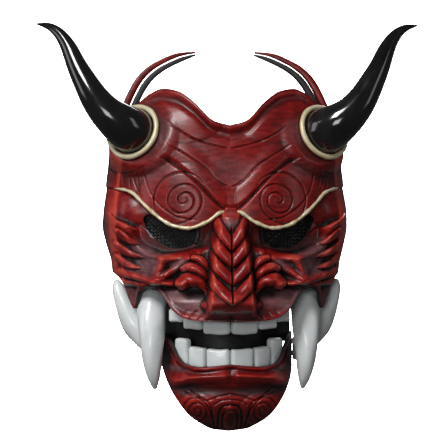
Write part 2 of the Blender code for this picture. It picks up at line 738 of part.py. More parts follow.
def band_point(share, inner):
    """A point of a crown band's front-view outline, in drawn x and z; its foot lies on the side wall."""
    if inner:
        return float(profile(BAND_INNER_X)(share)), float(profile(BAND_INNER_Z)(share))
    foot = (wall_inner_x(BAND_FRONT_Y / SCALE[1], BAND_FOOT_Z) - 2 * GAP) / SCALE[0]
    return float(profile([(0, foot)] + BAND_OUTER_X)(share)), float(profile(BAND_OUTER_Z)(share))


def band_loop(share, low, high):
    """A four-cornered cut across a band, between two shares of its thickness."""
    outer = np.array(band_point(share, False))
    inner = np.array(band_point(share, True))
    narrow = 1.0 - 0.6 * share
    rear = BAND_REAR_Y
    front = rear + (BAND_FRONT_Y - rear) * narrow
    near = inner + (outer - inner) * low
    far = inner + (outer - inner) * high
    return [(-near[0] * SCALE[0], front, near[1] * SCALE[2]), (-far[0] * SCALE[0], front, far[1] * SCALE[2]),
            (-far[0] * SCALE[0], rear, far[1] * SCALE[2]), (-near[0] * SCALE[0], rear, near[1] * SCALE[2])]


def make_crown_bands():
    """The two red arched bands behind the horns, each with a dark lining."""
    shares = np.linspace(0.0, 1.0, 22)
    seam = GAP / 13.0
    red = bridged([band_loop(s, BAND_SPLIT + seam * (1 + 3 * s), 1.0) for s in shares])
    left = solid("left_crown_band", *red, red_lacquer())
    mirrored(left, "right_crown_band")
    black = bridged([band_loop(s, 0.0, BAND_SPLIT) for s in shares])
    lining = solid("left_band_lining", *black, dark_lining())
    mirrored(lining, "right_band_lining")


# ---------------------------------------------------------------- padding, straps and the jaw

def pad(name, middle, half_size, lift, look):
    """A soft block that follows the inside of the shell at a clearance."""
    steps = 6
    count = steps + 1
    vertices = []
    for layer in range(2):
        for i in range(count):
            for j in range(count):
                x = middle[0] + half_size[0] * (2 * i / steps - 1)
                z = middle[1] + half_size[1] * (2 * j / steps - 1)
                y = plain_y(x, z) * SCALE[1] + lift + layer * PAD_THICKNESS
                vertices.append((x * SCALE[0], y, z * SCALE[2]))

    def at(i, j, layer):
        return layer * count * count + i * count + j

    faces = []
    for i in range(steps):
        for j in range(steps):
            for layer in range(2):
                faces.append((at(i, j, layer), at(i + 1, j, layer), at(i + 1, j + 1, layer), at(i, j + 1, layer)))
        for j in (0, steps):
            faces.append((at(i, j, 0), at(i + 1, j, 0), at(i + 1, j, 1), at(i, j, 1)))
            faces.append((at(j, i, 0), at(j, i + 1, 0), at(j, i + 1, 1), at(j, i, 1)))
    return solid(name, vertices, faces, look)


def make_pads():
    """Forehead and cheek cushions that rest on the wearer."""
    pad("forehead_pad", (0, 54), (34, 10), FACE_WALL + FOREHEAD_PAD_LIFT, foam())
    left = pad("left_cheek_pad", (-58, -35), (10, 7), FACE_WALL + CHEEK_PAD_LIFT, foam())
    mirrored(left, "right_cheek_pad")


def wall_inner_x(y, z):
    """The inside of the left side wall, as a distance from the middle, at a drawn y and z."""
    share = abs(y) / FACE_DEPTH(z)
    return (FACE_WIDTH(z) * (1 - share ** SECTION_POWER) ** (1 / SECTION_POWER)) * SCALE[0] - FACE_WALL


def box(name, low, high, look):
    """A plain block between two corners."""
    corners = [(x, y, z) for x in (low[0], high[0]) for y in (low[1], high[1]) for z in (low[2], high[2])]
    faces = [(0, 1, 3, 2), (4, 6, 7, 5), (0, 4, 5, 1), (2, 3, 7, 6), (0, 2, 6, 4), (1, 5, 7, 3)]
    made = solid(name, corners, faces, look)
    bevel = made.modifiers.new("edge", "BEVEL")
    bevel.width = 0.5 * MM
    bevel.segments = 1
    bevel.limit_method = "NONE"
    return made


def rivet_outline(grip, head, tail=0.0):
    """A rivet with a domed head at one end and a hammered tail, or a flush end, at the other."""
    half = grip / 2
    outline = [(-half - head, RIVET_HEAD_RADIUS * 0.6), (-half - head / 2, RIVET_HEAD_RADIUS),
               (-half, RIVET_HEAD_RADIUS), (-half + SHOULDER, RIVET_RADIUS)]
    if tail == 0.0:
        return outline + [(half, RIVET_RADIUS)]
    return outline + [(half - SHOULDER, RIVET_RADIUS), (half, RIVET_HEAD_RADIUS),
                      (half + tail / 2, RIVET_HEAD_RADIUS), (half + tail, RIVET_HEAD_RADIUS * 0.6)]


def make_strap_anchors():
    """Slotted plates inside the side walls that a head strap threads through, each on a rivet."""
    y, z = ANCHOR_PLACE
    thickness, length, height = ANCHOR_SIZE
    wall = min(wall_inner_x(y - length / 2, z - height / 2), wall_inner_x(y, z + height * 0.65))
    centre = Vector((-(wall - GAP - ANCHOR_RELIEF) + thickness / 2, y * SCALE[1], z * SCALE[2]))
    slot_at = centre + Vector((0, 8, 0))
    slot_half = Vector((5, STRAP_SLOT[1] / 2, STRAP_SLOT[0] / 4))
    rivet_at = centre + Vector((0, -7, 0))
    hole = [(-5, RIVET_RADIUS + GAP), (5, RIVET_RADIUS + GAP)]
    for side, turn in (("left", Vector), ("right", flipped)):
        half = Vector(ANCHOR_SIZE) / 2
        plate = box(f"{side}_strap_anchor", turn(centre) - half, turn(centre) + half, steel())
        slot = box(f"{side}_slot_cutter", turn(slot_at) - slot_half, turn(slot_at) + slot_half, steel())
        slot.hide_render = True
        slot.display_type = "WIRE"
        cut(plate, slot)
        cut(plate, cutter(f"{side}_anchor_cutter", *turned(turn(rivet_at), (1, 0, 0), hole, 12)))
    outline = rivet_outline(thickness + 2 * GAP, ANCHOR_RIVET_HEAD)
    rivet = solid("left_strap_rivet", *turned(rivet_at, (-1, 0, 0), outline, 12), steel())
    mirrored(rivet, "right_strap_rivet")


def make_jaw_shell():
    """The hinged lower jaw: chin, lower lip and its short side walls."""
    return solid("jaw_shell", *thick_shell(jaw_point, JAW_WALL, 28, 10), red_lacquer(), 30.0)


def make_side_tusks():
    """Tusks rooted at the jaw's corners that rise outwards."""
    root = -(JAW_HALF_WIDTH + GAP)
    path = smooth_path([(root, -43, -104), (root - 6, -43, -100.5), (-64, -42, -94.5), (-71.5, -41, -86),
                        (-77.5, -39, -74.5), (-82, -37, -64), (-84.7, -35, -55.5), (-85.8, -33.5, -51.3)], 14) * SCALE
    radii = profile([(0, 7.5), (0.15, 9.0), (0.38, 9.6), (0.6, 8.4), (0.8, 6.3), (0.93, 4.4), (1, 2.3)])
    points = [Vector(p) for p in path]
    left = solid("left_side_tusk", *swept_from(points, radii(np.linspace(0, 1, 14)), Vector((-1, 0, 0)), 12), ivory())
    right = mirrored(left, "right_side_tusk")
    return [left, right]


def hinge_point():
    """The left end of the jaw's axis, at the inside of the side wall."""
    x = -(wall_inner_x(HINGE_Y, HINGE_Z) - PIVOT_INSET)
    return Vector((x, HINGE_Y * SCALE[1], HINGE_Z * SCALE[2]))


def arm_foot():
    """Where the left arm lies on the outside of the jaw's side."""
    out = JAW_HALF_WIDTH * SCALE[0] + 2 * GAP + ARM_THICKNESS / 2
    return Vector((-out, ARM_FOOT[0] * SCALE[1], ARM_FOOT[1] * SCALE[2]))


def make_jaw_arms():
    """Flat arms from the jaw's corners up to the pivots inside the cheeks."""
    pivot = hinge_point()
    foot = arm_foot()
    knee = Vector((ARM_KNEE[0] * SCALE[0], ARM_KNEE[1] * SCALE[1], ARM_KNEE[2] * SCALE[2]))
    path = smooth_path([foot + Vector((0, 0, -5)), foot, foot + Vector((0, 0, 6)), knee,
                        pivot + Vector((2, 0, -18)), pivot, pivot + Vector((0, 0, 7))], ARM_STEPS)
    loops = []
    for i, point in enumerate(path):
        ahead = path[min(i + 1, ARM_STEPS - 1)] - path[max(i - 1, 0)]
        out = np.array((-ahead[2], 0.0, ahead[0]))
        out /= np.linalg.norm(out)
        half = ARM_THICKNESS / 2
        wide = ARM_WIDTH / 2
        loops.append([point + out * half + (0, -wide, 0), point + out * half + (0, wide, 0),
                      point - out * half + (0, wide, 0), point - out * half + (0, -wide, 0)])
    left = solid("left_jaw_arm", *bridged(loops), steel())
    right = mirrored(left, "right_jaw_arm")
    for piece, centre in ((left, pivot), (right, flipped(pivot))):
        outline = [(-8, PIN_RADIUS + PIN_CLEARANCE), (8, PIN_RADIUS + PIN_CLEARANCE)]
        cut(piece, cutter(piece.name + "_cutter", *turned(centre, (1, 0, 0), outline, 16)))
    return [left, right]


def rivet_through(name, centre, axis, grip, pieces):
    """A rivet with heads on both sides of a grip, and its holes in the pieces it joins."""
    outline = rivet_outline(grip, RIVET_HEAD_HEIGHT, RIVET_HEAD_HEIGHT)
    made = solid(name, *turned(centre, axis, outline, 12), steel())
    reach = grip / 2 + 6.0
    hole = [(-reach, RIVET_RADIUS + GAP), (reach, RIVET_RADIUS + GAP)]
    tool = cutter(name + "_cutter", *turned(centre, axis, hole, 12))
    for piece in pieces:
        cut(piece, tool)
    return made


def make_arm_rivets():
    """The rivets that hold the arms to the jaw."""
    made = []
    share = abs(ARM_FOOT[0]) / float(JAW_DEPTH(ARM_FOOT[1]))
    side_x = JAW_HALF_WIDTH * (1 - share ** JAW_POWER) ** (1 / JAW_POWER) * SCALE[0]
    outer = -arm_foot()[0] + ARM_THICKNESS / 2 + GAP
    grip = outer - side_x + JAW_WALL + 3 * GAP
    middle = Vector((-(outer - grip / 2), arm_foot()[1], arm_foot()[2]))
    jaw = bpy.data.objects["jaw_shell"]
    for side, centre in (("left", middle), ("right", flipped(middle))):
        arm = bpy.data.objects[f"{side}_jaw_arm"]
        made.append(rivet_through(f"{side}_arm_rivet", centre, (1, 0, 0), grip, (jaw, arm)))
    return made


def make_band_rivets():
    """The rivets that hold the crown bands to the side walls."""
    y, z = BAND_RIVET
    wall = wall_inner_x(y, z)
    inner = band_point(0.1, True)[0] * SCALE[0]
    grip = wall + FACE_WALL - inner + 3 * GAP
    middle = Vector((-(inner + grip / 2 - GAP), y * SCALE[1], z * SCALE[2]))
    shell = bpy.data.objects["face_shell"]
    for side, centre in (("left", middle), ("right", flipped(middle))):
        pieces = [shell] + [bpy.data.objects[f"{side}_{kind}"] for kind in ("crown_band", "band_lining")]
        rivet_through(f"{side}_band_rivet", centre, (1, 0, 0), grip, pieces)


def make_hinge_pins():
    """Headed pins on the jaw's axis, fixed to the side walls."""
    pivot = hinge_point()
    wall = wall_inner_x(HINGE_Y, HINGE_Z)
    gap_to_wall = wall + pivot[0]
    half = ARM_THICKNESS / 2 + GAP
    outline = [(-half - PIN_HEAD[1], PIN_HEAD[0] * 0.9), (-half, PIN_HEAD[0]), (-half + SHOULDER, PIN_RADIUS),
               (half - SHOULDER, PIN_RADIUS), (half, LUG_RADIUS), (gap_to_wall - PIN_WALL_GAP, LUG_RADIUS)]
    left = solid("left_hinge_pin", *turned(pivot, (-1, 0, 0), outline, 16), steel())
    mirrored(left, "right_hinge_pin")


def clear_scene():
    """Removes whatever the file already holds."""
    for old in list(bpy.data.objects):
        bpy.data.objects.remove(old, do_unlink=True)


def main():
    clear_scene()
    make_face_shell()
    make_brow_trims()
    make_horns()
    make_collars()
    make_horn_screws()
    make_front_tusks()
    make_teeth()
    gum("upper_gum", UPPER_GUM_Z, UPPER_ARCH)
    lower_gum = gum("lower_gum", LOWER_GUM_Z, LOWER_ARCH)
    make_eye_screens()
    make_mouth_screen()
    make_crown_bands()
    make_pads()
    make_strap_anchors()
    moving = [make_jaw_shell(), lower_gum] + make_side_tusks() + make_jaw_arms()
    moving += [bpy.data.objects[f"lower_tooth_{number}"] for number in range(1, 7)]
    moving += make_arm_rivets()
    make_band_rivets()
    make_hinge_pins()
    for piece in moving:
        move_origin(piece, (0.0, HINGE_Y * SCALE[1], HINGE_Z * SCALE[2]))


main()
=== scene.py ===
"""Looks for the horned demon mask: fine surfaces, materials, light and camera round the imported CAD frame.

Sizes are in millimetres in the CAD frame and become metres in new_piece().
Faces look towards -Y; the left half is at negative X and the right half mirrors it.
"""
import math

import bmesh
import bpy
import numpy as np
from mathutils import Matrix, Vector


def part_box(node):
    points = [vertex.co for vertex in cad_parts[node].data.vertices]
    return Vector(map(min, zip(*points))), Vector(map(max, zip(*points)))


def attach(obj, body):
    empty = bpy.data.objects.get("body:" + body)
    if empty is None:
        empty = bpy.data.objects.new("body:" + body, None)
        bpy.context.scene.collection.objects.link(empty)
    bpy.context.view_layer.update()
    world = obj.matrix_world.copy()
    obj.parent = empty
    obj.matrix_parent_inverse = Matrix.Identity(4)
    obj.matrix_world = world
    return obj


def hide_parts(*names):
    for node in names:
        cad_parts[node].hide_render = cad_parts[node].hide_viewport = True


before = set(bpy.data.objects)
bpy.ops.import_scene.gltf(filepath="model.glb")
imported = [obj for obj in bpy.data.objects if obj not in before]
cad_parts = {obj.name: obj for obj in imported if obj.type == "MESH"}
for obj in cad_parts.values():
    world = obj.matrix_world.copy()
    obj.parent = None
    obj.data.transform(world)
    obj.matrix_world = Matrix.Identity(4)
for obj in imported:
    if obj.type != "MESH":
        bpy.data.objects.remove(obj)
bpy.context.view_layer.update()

MM = 0.001
MASK = "mask"
JAW = "jaw"

# The same driving values as the CAD model.
FACE_WALL = 3.6
JAW_WALL = 3.2
SECTION_POWER = 2.4
JAW_POWER = 3.0
HALF_WIDTH = 97.0
DEPTH = 94.0
HORN_SEAT = (71.6, 62.0)
HORN_NORMAL = Vector((0.50, -0.78, 0.36)).normalized()
HORN_BASE_RADIUS = 18.0
COLLAR_THICKNESS = 4.0
COLLAR_CLEARANCE = 0.4
COLLAR_OUTER = HORN_BASE_RADIUS + COLLAR_CLEARANCE + COLLAR_THICKNESS
SEAT_BLEND = 12.0
SEAT_RISE = 4.0
EYE_FLOOR_Y = -73.0
EYE_FLOOR_SLOPE = 0.36
EYE_MIDDLE_X = 43.0
EYE_SCREEN_SETBACK = FACE_WALL / 0.85 + 3.9
UPPER_ARCH = (-90.0, 0.0098)         # y of the middle of a row of teeth, and how fast it curves back
LOWER_ARCH = (-82.0, 0.0135)
SCREEN_ARCH = (-60.0, 0.0110)
UPPER_TEETH = ((0.2, 20.2, -89.0), (20.6, 34.4, -85.6), (34.8, 44.6, -81.0))       # near x, far x, tip z
LOWER_TEETH = ((0.2, 17.4, -100.8), (17.8, 29.9, -99.8), (30.3, 39.6, -94.0))
UPPER_ROOT_Z = -70.4
LOWER_ROOT_Z = -115.6
MOUTH_SCREEN_HALF = 49.5
MOUTH_SCREEN_TOP = -56.0
MOUTH_SCREEN_LOW = ((40.5, 43.5), (-126.0, -99.0))                                 # x and z of its lower edge
JAW_HALF_WIDTH = 52.0
JAW_REAR_TURN = 0.87

# Mesh fineness: columns on the front and on each side wall, and rows.
FRONT_TURN = 0.66
FRONT_COLUMNS = 400
SIDE_COLUMNS = 20
FOREHEAD_ROWS = 180
CHEEK_ROWS = 178
JAW_COLUMNS = 330
JAW_ROWS = 150
INNER_STEP = 6

# Paint relief read by the red lacquer: reach, in grid steps, of its fine and broad averages.
FINE_REACH = 3
BROAD_REACH = 14
INSIDE_REACH = 6

# Studio.
WORLD_LIGHT = 0.06
WORLD_SEEN = 0.95
CAMERA_TARGET = (-4.5, -80.0, -6.75)
CAMERA_AZIMUTH = -3.0
CAMERA_ELEVATION = 1.5
CAMERA_DISTANCE = 1.3
CAMERA_LENS = 139.0
LIGHTS = (                           # name, place, target, size, watts, colour, spread in degrees
    ("key", (-0.70, -1.10, 1.15), (0, -0.05, 0), (0.40, 0.6), 19.0, (1.0, 1.0, 1.0), 180.0),
    ("front", (-0.45, -1.70, 0.20), (0, -0.05, -0.05), (0.5, 0.5), 5.0, (1.0, 1.0, 1.0), 180.0),
    ("fill", (1.25, -0.9, 0.45), (0, -0.05, 0), (0.3, 0.9), 1.2, (1.0, 1.0, 1.0), 180.0),
    ("side_sheen", (-1.25, -0.25, 0.35), (-0.05, -0.05, 0), (0.4, 0.8), 2.0, (1.0, 0.95, 0.98), 180.0),
    ("back", (0.5, 1.3, 0.8), (0, 0.0, 0), (0.8, 0.5), 5.0, (1.0, 1.0, 1.0), 180.0),
    ("wall_wash", (0.0, 1.8, 2.6), (0, 4.2, 0.2), (3.0, 1.0), 200.0, (1.0, 1.0, 1.0), 100.0),
    ("floor_wash", (0.0, 3.2, 2.0), (0, 3.3, -0.6), (3.0, 1.0), 90.0, (1.0, 1.0, 1.0), 90.0),
)


# ---------------------------------------------------------------- curves

def profile(points):
    """A smooth curve through (position, value) points that does not swing past them."""
    at, value = np.array(points, float).T
    slope = np.diff(value) / np.diff(at)
    product = np.maximum(slope[:-1] * slope[1:], 0.0)
    total = np.where(product > 0.0, slope[:-1] + slope[1:], 1.0)
    tangent = np.concatenate(([slope[0]], 2.0 * product / total, [slope[-1]]))

    def read(x):
        x = np.clip(x, at[0], at[-1])
        i = np.clip(np.searchsorted(at, x, side="right") - 1, 0, len(at) - 2)
        step = at[i + 1] - at[i]
        s = (x - at[i]) / step
        rise = value[i] * (1 + 2 * s) * (1 - s) ** 2 + value[i + 1] * s * s * (3 - 2 * s)
        return rise + tangent[i] * step * s * (1 - s) ** 2 + tangent[i + 1] * step * s * s * (s - 1)

    return read


def fade(low, high, x):
    """0 at low, 1 at high, smooth between; low may be above high."""
    s = np.clip((x - low) / (high - low), 0.0, 1.0)
    return s * s * (3.0 - 2.0 * s)


def smooth_path(points, count):
    """count points on a smooth curve through 3-D or 2-D points."""
    points = np.array(points, float)
    run = np.concatenate(([0.0], np.cumsum(np.linalg.norm(np.diff(points, axis=0), axis=1))))
    at = np.linspace(0.0, run[-1], count)
    return np.stack([profile(list(zip(run, points[:, k])))(at) for k in range(points.shape[1])], axis=1)


def line_distance(x, z, points):
    """Distance from each (x, z) to a polyline, and the share of its length at the nearest place."""
    points = np.array(points, float)
    lengths = np.linalg.norm(np.diff(points, axis=0), axis=1)
    run = np.concatenate(([0.0], np.cumsum(lengths)))
    best = np.full(np.shape(x), 1e9)
    share = np.zeros(np.shape(x))
    for (x0, z0), (x1, z1), length, start in zip(points[:-1], points[1:], lengths, run[:-1]):
        t = np.clip(((x - x0) * (x1 - x0) + (z - z0) * (z1 - z0)) / length ** 2, 0.0, 1.0)
        away = np.hypot(x - x0 - t * (x1 - x0), z - z0 - t * (z1 - z0))
        closer = away < best
        best = np.where(closer, away, best)
        share = np.where(closer, (start + t * length) / run[-1], share)
    return best, share


FACE_WIDTH = profile([(-80, 86), (-50, 89), (-37, 90.5), (-25, 94), (-10, 97), (0, 96.5), (19, 94),
                      (50, 91), (62, 93.5), (78, 90), (96, 83)])
FACE_DEPTH = profile([(-80, 94), (-45, 92), (0, 88), (40, 84), (70, 76), (96, 65)])
FACE_LOWER_EDGE = profile([(0, -79), (26, -78), (34, -76.5), (40, -73.5), (44.5, -69.5), (48, -64), (54, -57.5),
                           (62, -55.5), (69, -58.5), (72, -71.5), (76, -65), (80, -54), (84, -48.5), (88, -46)])
FACE_UPPER_EDGE = profile([(0, 67.5), (12, 71), (28, 86), (40, 94), (50, 96), (60, 92), (70, 84), (80, 78),
                           (90, 76)])
JAW_DEPTH = profile([(-165, 66), (-152, 80), (-138, 89), (-120, 91), (-103, 88)])
JAW_LOWER_EDGE = profile([(0, -165), (13, -163), (22, -158), (31, -151), (38, -142.5), (44, -133.5),
                          (48, -125), (51, -117)])
JAW_UPPER_EDGE = profile([(0, -111.5), (26, -113.5), (34, -112), (40, -107), (44, -99), (48, -93.5), (52, -93)])
BROW_EDGE = profile([(0, 2.2), (5.8, 3), (18, -4.5), (32, -9), (42, -7.5), (49.5, -4), (59, 3.5), (67, 11),
                     (73, 17), (80, 19.5), (91, 20.6)])
BROW_TOP_POINTS = [(0, 3.2), (5, 4.6), (11.5, 9.5), (19, 17.5), (31.5, 30), (46, 40.2), (60, 46.5)]
BROW_TOP = profile(BROW_TOP_POINTS + [(75, 44), (92, 36)])
CHEEK_TOP = profile([(20, -24), (31, -24.5), (40, -27.5), (49.5, -29), (57, -23), (65, -13.5), (76, -7.5),
                     (84, -4), (95, 4)])
NOSE_HEIGHT = profile([(-77, 0), (-73, 7), (-68, 16), (-62, 20), (-50, 17.5), (-20, 10), (0, 5), (10, 0)])
NOSE_HALF = profile([(-75, 18), (-60, 16.5), (-38, 14), (-24, 12), (-12, 9.5), (0, 7), (8, 6)])


def section_table(power, half_width, depth):
    """Points of a level cut, evenly spaced along it, as shares of the half width and depth."""
    angle = np.linspace(0.0, math.pi / 2, 2001)
    across = np.sin(angle) ** (2 / power)
    forward = np.cos(angle) ** (2 / power)
    run = np.hypot(np.diff(across) * half_width, np.diff(forward) * depth)
    length = np.concatenate(([0.0], np.cumsum(run)))
    return length / length[-1], across, forward


FACE_SECTION = section_table(SECTION_POWER, HALF_WIDTH, DEPTH)
JAW_SECTION = section_table(JAW_POWER, JAW_HALF_WIDTH, DEPTH)


def section(turn, table=FACE_SECTION):
    """turn runs from -1 at the left rear edge to 1 at the right rear edge."""
    at, across, forward = table
    share = np.abs(turn)
    return np.sign(turn) * np.interp(share, at, across), np.interp(share, at, forward)


def edge_height(edge, width, across):
    """Where the column at this share of the width meets a front-view outline."""
    z = np.zeros_like(across)
    for _ in range(16):
        z = edge(np.abs(across) * width(z))
    return z


# ---------------------------------------------------------------- carved forms, seen from the front

def groove(x, z, points, width, depth):
    """An engraved line that fades out at its ends."""
    away, share = line_distance(x, z, points)
    ends = fade(0.0, 0.06, share) * fade(1.0, 0.94, share)
    return -depth * np.exp(-(away / width) ** 2) * (0.35 + 0.65 * ends)


def crease(x, z, points, width, height):
    """A ridge with flat flanks that meet in a crisp line."""
    away, share = line_distance(x, z, points)
    ends = fade(0.0, 0.12, share) * fade(1.0, 0.88, share)
    return height * np.clip(1.0 - np.sqrt(away ** 2 + 0.25) / width, 0.0, 1.0) * (0.45 + 0.55 * ends)


def hollow(x, z, rim, centre, depth):
    """A cut like an upturned pyramid, in flat plates from a rim down to a centre."""
    cut = np.zeros_like(x)
    x, z = x - centre[0], z - centre[1]
    for first, second in zip(rim, rim[1:] + rim[:1]):
        ax, az = first[0] - centre[0], first[1] - centre[1]
        bx, bz = second[0] - centre[0], second[1] - centre[1]
        along_first = (x * bz - bx * z) / (ax * bz - bx * az)
        along_second = (ax * z - x * az) / (ax * bz - bx * az)
        inside = (along_first >= 0) & (along_second >= 0) & (along_first + along_second <= 1)
        cut = np.where(inside, depth * (along_first + along_second - 1), cut)
    return cut


def roll(x, z, points, widths, height):
    """A rounded bar with a width at each share of its length."""
    away, share = line_distance(x, z, points)
    half = profile(widths)(share)
    return height * np.sqrt(np.clip(1.0 - (away / half) ** 2, 0.0, 1.0)) * np.clip(half / half.max(), 0.0, 1.0)


def engraved(relief, x, z, curves, count):
    """Adds a groove for each (points, width, depth)."""
    for points, width, depth in curves:
        relief = relief + groove(x, z, smooth_path(points, count), width, depth)
    return relief


def dome(x, z, centre, radii, height, power=0.7):
    """A rounded swelling."""
    spread = ((x - centre[0]) / radii[0]) ** 2 + ((z - centre[1]) / radii[1]) ** 2
    return height * np.clip(1.0 - spread, 0.0, 1.0) ** power


def spiral_points(centre, start, radii, count=200):
    """A clockwise spiral inwards from an angle in degrees, with a radius for each quarter turn."""
    quarters = np.linspace(0.0, len(radii) - 1.0, count)
    radius = profile(list(enumerate(radii)))(quarters)
    angle = np.radians(start - 90.0 * quarters)
    return np.stack((centre[0] + radius * np.cos(angle), centre[1] + radius * np.sin(angle)), axis=1)


BROW_SPIRAL = (35.0, 12.3)
BROW_SPIRAL_RADII = (18.5, 20.6, 22.5, 15.2, 12.4, 10.6, 12.0, 9.4, 6.4, 3.9, 4.4, 3.1, 1.6)
CHIN_SPIRAL = (25.0, -147.5)
CHIN_SPIRAL_RADII = (11.5, 11.0, 10.4, 9.0, 7.4, 6.6, 6.0, 4.8, 3.4, 2.6, 1.6)
FINE_LINE = 0.62


def forehead_relief(x, z):
    """Brow plates, engraved spirals and the sweeping grooves of the forehead."""
    x = np.abs(x)
    to_top = z - BROW_TOP(x)
    plate = 1.7 * fade(1.5, -2.5, to_top) * fade(96, 74, x)
    swell = dome(x, z, (37, 12), (34, 27), 3.4, 0.8)
    tongue = 2.4 * fade(-1, 5, to_top) * fade(22, 3, np.abs(to_top - 8)) * fade(62, 40, x)
    rim = 2.6 * fade(7, 1.5, FACE_UPPER_EDGE(x) - z) * fade(84, 66, x)
    rim_valley = -1.4 * np.exp(-((FACE_UPPER_EDGE(x) - z - 9.0) / 3.0) ** 2) * fade(80, 60, x)
    lobes = dome(x, z, (33, 76), (30, 22), 3.2)
    relief = plate + swell + tongue + rim + rim_valley + lobes
    curves = (
        (BROW_TOP_POINTS, 0.6, 1.0),
        ([(0, 21), (6, 23.5), (12, 28.5), (19, 36), (31.5, 44.5), (52.5, 57)], 0.65, 1.1),
        ([(0, 50), (6, 51), (24, 56), (40, 65), (54, 76.5)], 0.65, 1.0),
        ([(65, 45), (64.5, 34), (62, 22), (56, 11), (47, 3), (37, -2.2), (26, -3.2)], FINE_LINE, 1.0),
        ([(73, 33), (72, 26), (69.5, 19), (66, 13.5)], FINE_LINE, 0.8),
        ([(92, 36), (86, 32), (78, 31.5), (66, 36), (57, 43)], 0.9, 1.5),
        ([(70, 34), (68, 17)], 0.5, 0.7), ([(76, 31.5), (74.5, 20)], 0.5, 0.7),
        ([(81, 31.5), (80, 22)], 0.5, 0.7), ([(86, 32), (86, 23)], 0.5, 0.7),
    )
    relief = engraved(relief, x, z, curves, 40)
    return relief + groove(x, z, spiral_points(BROW_SPIRAL, 150, BROW_SPIRAL_RADII), FINE_LINE, 1.1)


def leaf_relief(x, z):
    """The four pairs of overlapping leaves down the nose, with the small shield above them."""
    leaves = np.zeros_like(x)
    for tip, reach in ((-20.5, 10.5), (-33.0, 13.0), (-46.0, 15.0), (-60.0, 16.5)):
        path = smooth_path([(reach, tip + 19.5), (reach * 0.9, tip + 13.5), (reach * 0.64, tip + 7.6),
                            (reach * 0.3, tip + 2.2), (-1.0, tip - 3.0)], 24)
        widths = [(0, 1.4), (0.18, 3.3), (0.45, 4.7), (0.75, 4.4), (1, 3.2)]
        leaves = np.maximum(leaves, roll(x, z, path, widths, 6.4))
    shield = roll(x, z, [(0, 2), (0, -12)], [(0, 7.0), (0.5, 6.0), (1, 1.0)], 3.6)
    return np.maximum(leaves, shield) + groove(x, z, [(0, -9), (0, -66)], 0.5, 2.4)


def nostril_relief(x, z):
    """Three nested petals round each nostril, and the nostril itself."""
    petals = np.zeros_like(x)
    shapes = (
        ([(17.5, -61.0), (20.0, -53.5), (25.5, -48.3), (32, -47.5), (36.4, -50.5)],
         (1.2, 3.4, 5.0, 5.9, 5.6), 14.5),
        ([(17.0, -53), (19.6, -45.5), (25.5, -40.3), (31, -38.8), (35.2, -40.2)],
         (1.0, 3.2, 4.3, 4.2, 2.9), 11.5),
        ([(16.6, -45), (18.6, -37.8), (22.6, -33.4), (27.6, -31.6)], (0.9, 3.0, 3.6, 2.4), 8.5),
    )
    for points, halves, height in shapes:
        widths = list(zip(np.linspace(0.0, 1.0, len(halves)), halves))
        petals = np.maximum(petals, roll(x, z, smooth_path(points, 28), widths, height))
    hole = -16.0 * dome(x, z, (27.5, -58.2), (8.2, 4.4), 1.0, 0.6)
    return petals, hole


def cheek_relief(x, z):
    """The faceted cheek plate with its ridges, finger-like rolls and the bag of the eyelid."""
    cheek_mass = 6.5 * fade(0.8, -1.6, z - CHEEK_TOP(x)) * fade(-56, -51, z) * fade(38, 54, x) * fade(97, 86, x)
    ridges = (
        ([(86, -7.5), (75, -12), (65, -17.5), (57, -24), (49.5, -30.5), (40, -29.5), (31, -27), (25, -28)],
         6.5, 3.8),
        ([(49.5, -30.5), (53, -39), (57.5, -49.3)], 5.0, 3.4),
        ([(28, -30.5), (42, -40.5), (57.5, -49.6)], 4.0, 2.4),
        ([(88.5, -43.5), (72, -46.5), (57.5, -49.8), (46, -51.5), (38, -51)], 5.0, 4.0),
        ([(91, 8), (90, -12), (89, -28), (88.5, -44)], 6.0, 4.0),
    )
    hollows = (
        ([(86, -10), (75, -14), (65, -19.5), (57, -26), (51.5, -32), (54.5, -40), (58.5, -47.6), (72, -44.8),
          (86, -41.5), (87, -28)], (68, -34), 8.0),
        ([(48, -32), (38, -31), (30, -30.5), (42, -38.8), (54.5, -47)], (46, -36.5), 3.0),
        ([(30, -33.5), (42, -42.3), (54, -50), (46, -50.5), (38, -50)], (42, -46), 3.2),
    )
    relief = cheek_mass
    for points, width, height in ridges:
        relief = relief + crease(x, z, points, width, height)
    for rim, centre, depth in hollows:
        relief = relief + hollow(x, z, rim, centre, depth)
    relief += groove(x, z, [(88, -47), (72, -50.0), (57, -52.8), (46, -54.3), (37, -54.0)], 1.3, 3.2)
    for tail, head in (((85, -12.5), (67, -22)), ((85.5, -22.5), (66, -32)), ((85.5, -32.5), (67, -40))):
        middle = ((tail[0] + head[0]) / 2, (tail[1] + head[1]) / 2 - 2.0)
        path = smooth_path([tail, middle, head], 16)
        relief += roll(x, z, path, [(0, 2.6), (0.4, 3.1), (0.8, 2.0), (1, 0.6)], 6.0)
    relief += dome(x, z, (81, 4), (22, 15), 5.5, 1.0)
    return relief + crease(x, z, [(19.5, -4), (20.5, -18), (25.5, -29)], 3.2, 3.4)


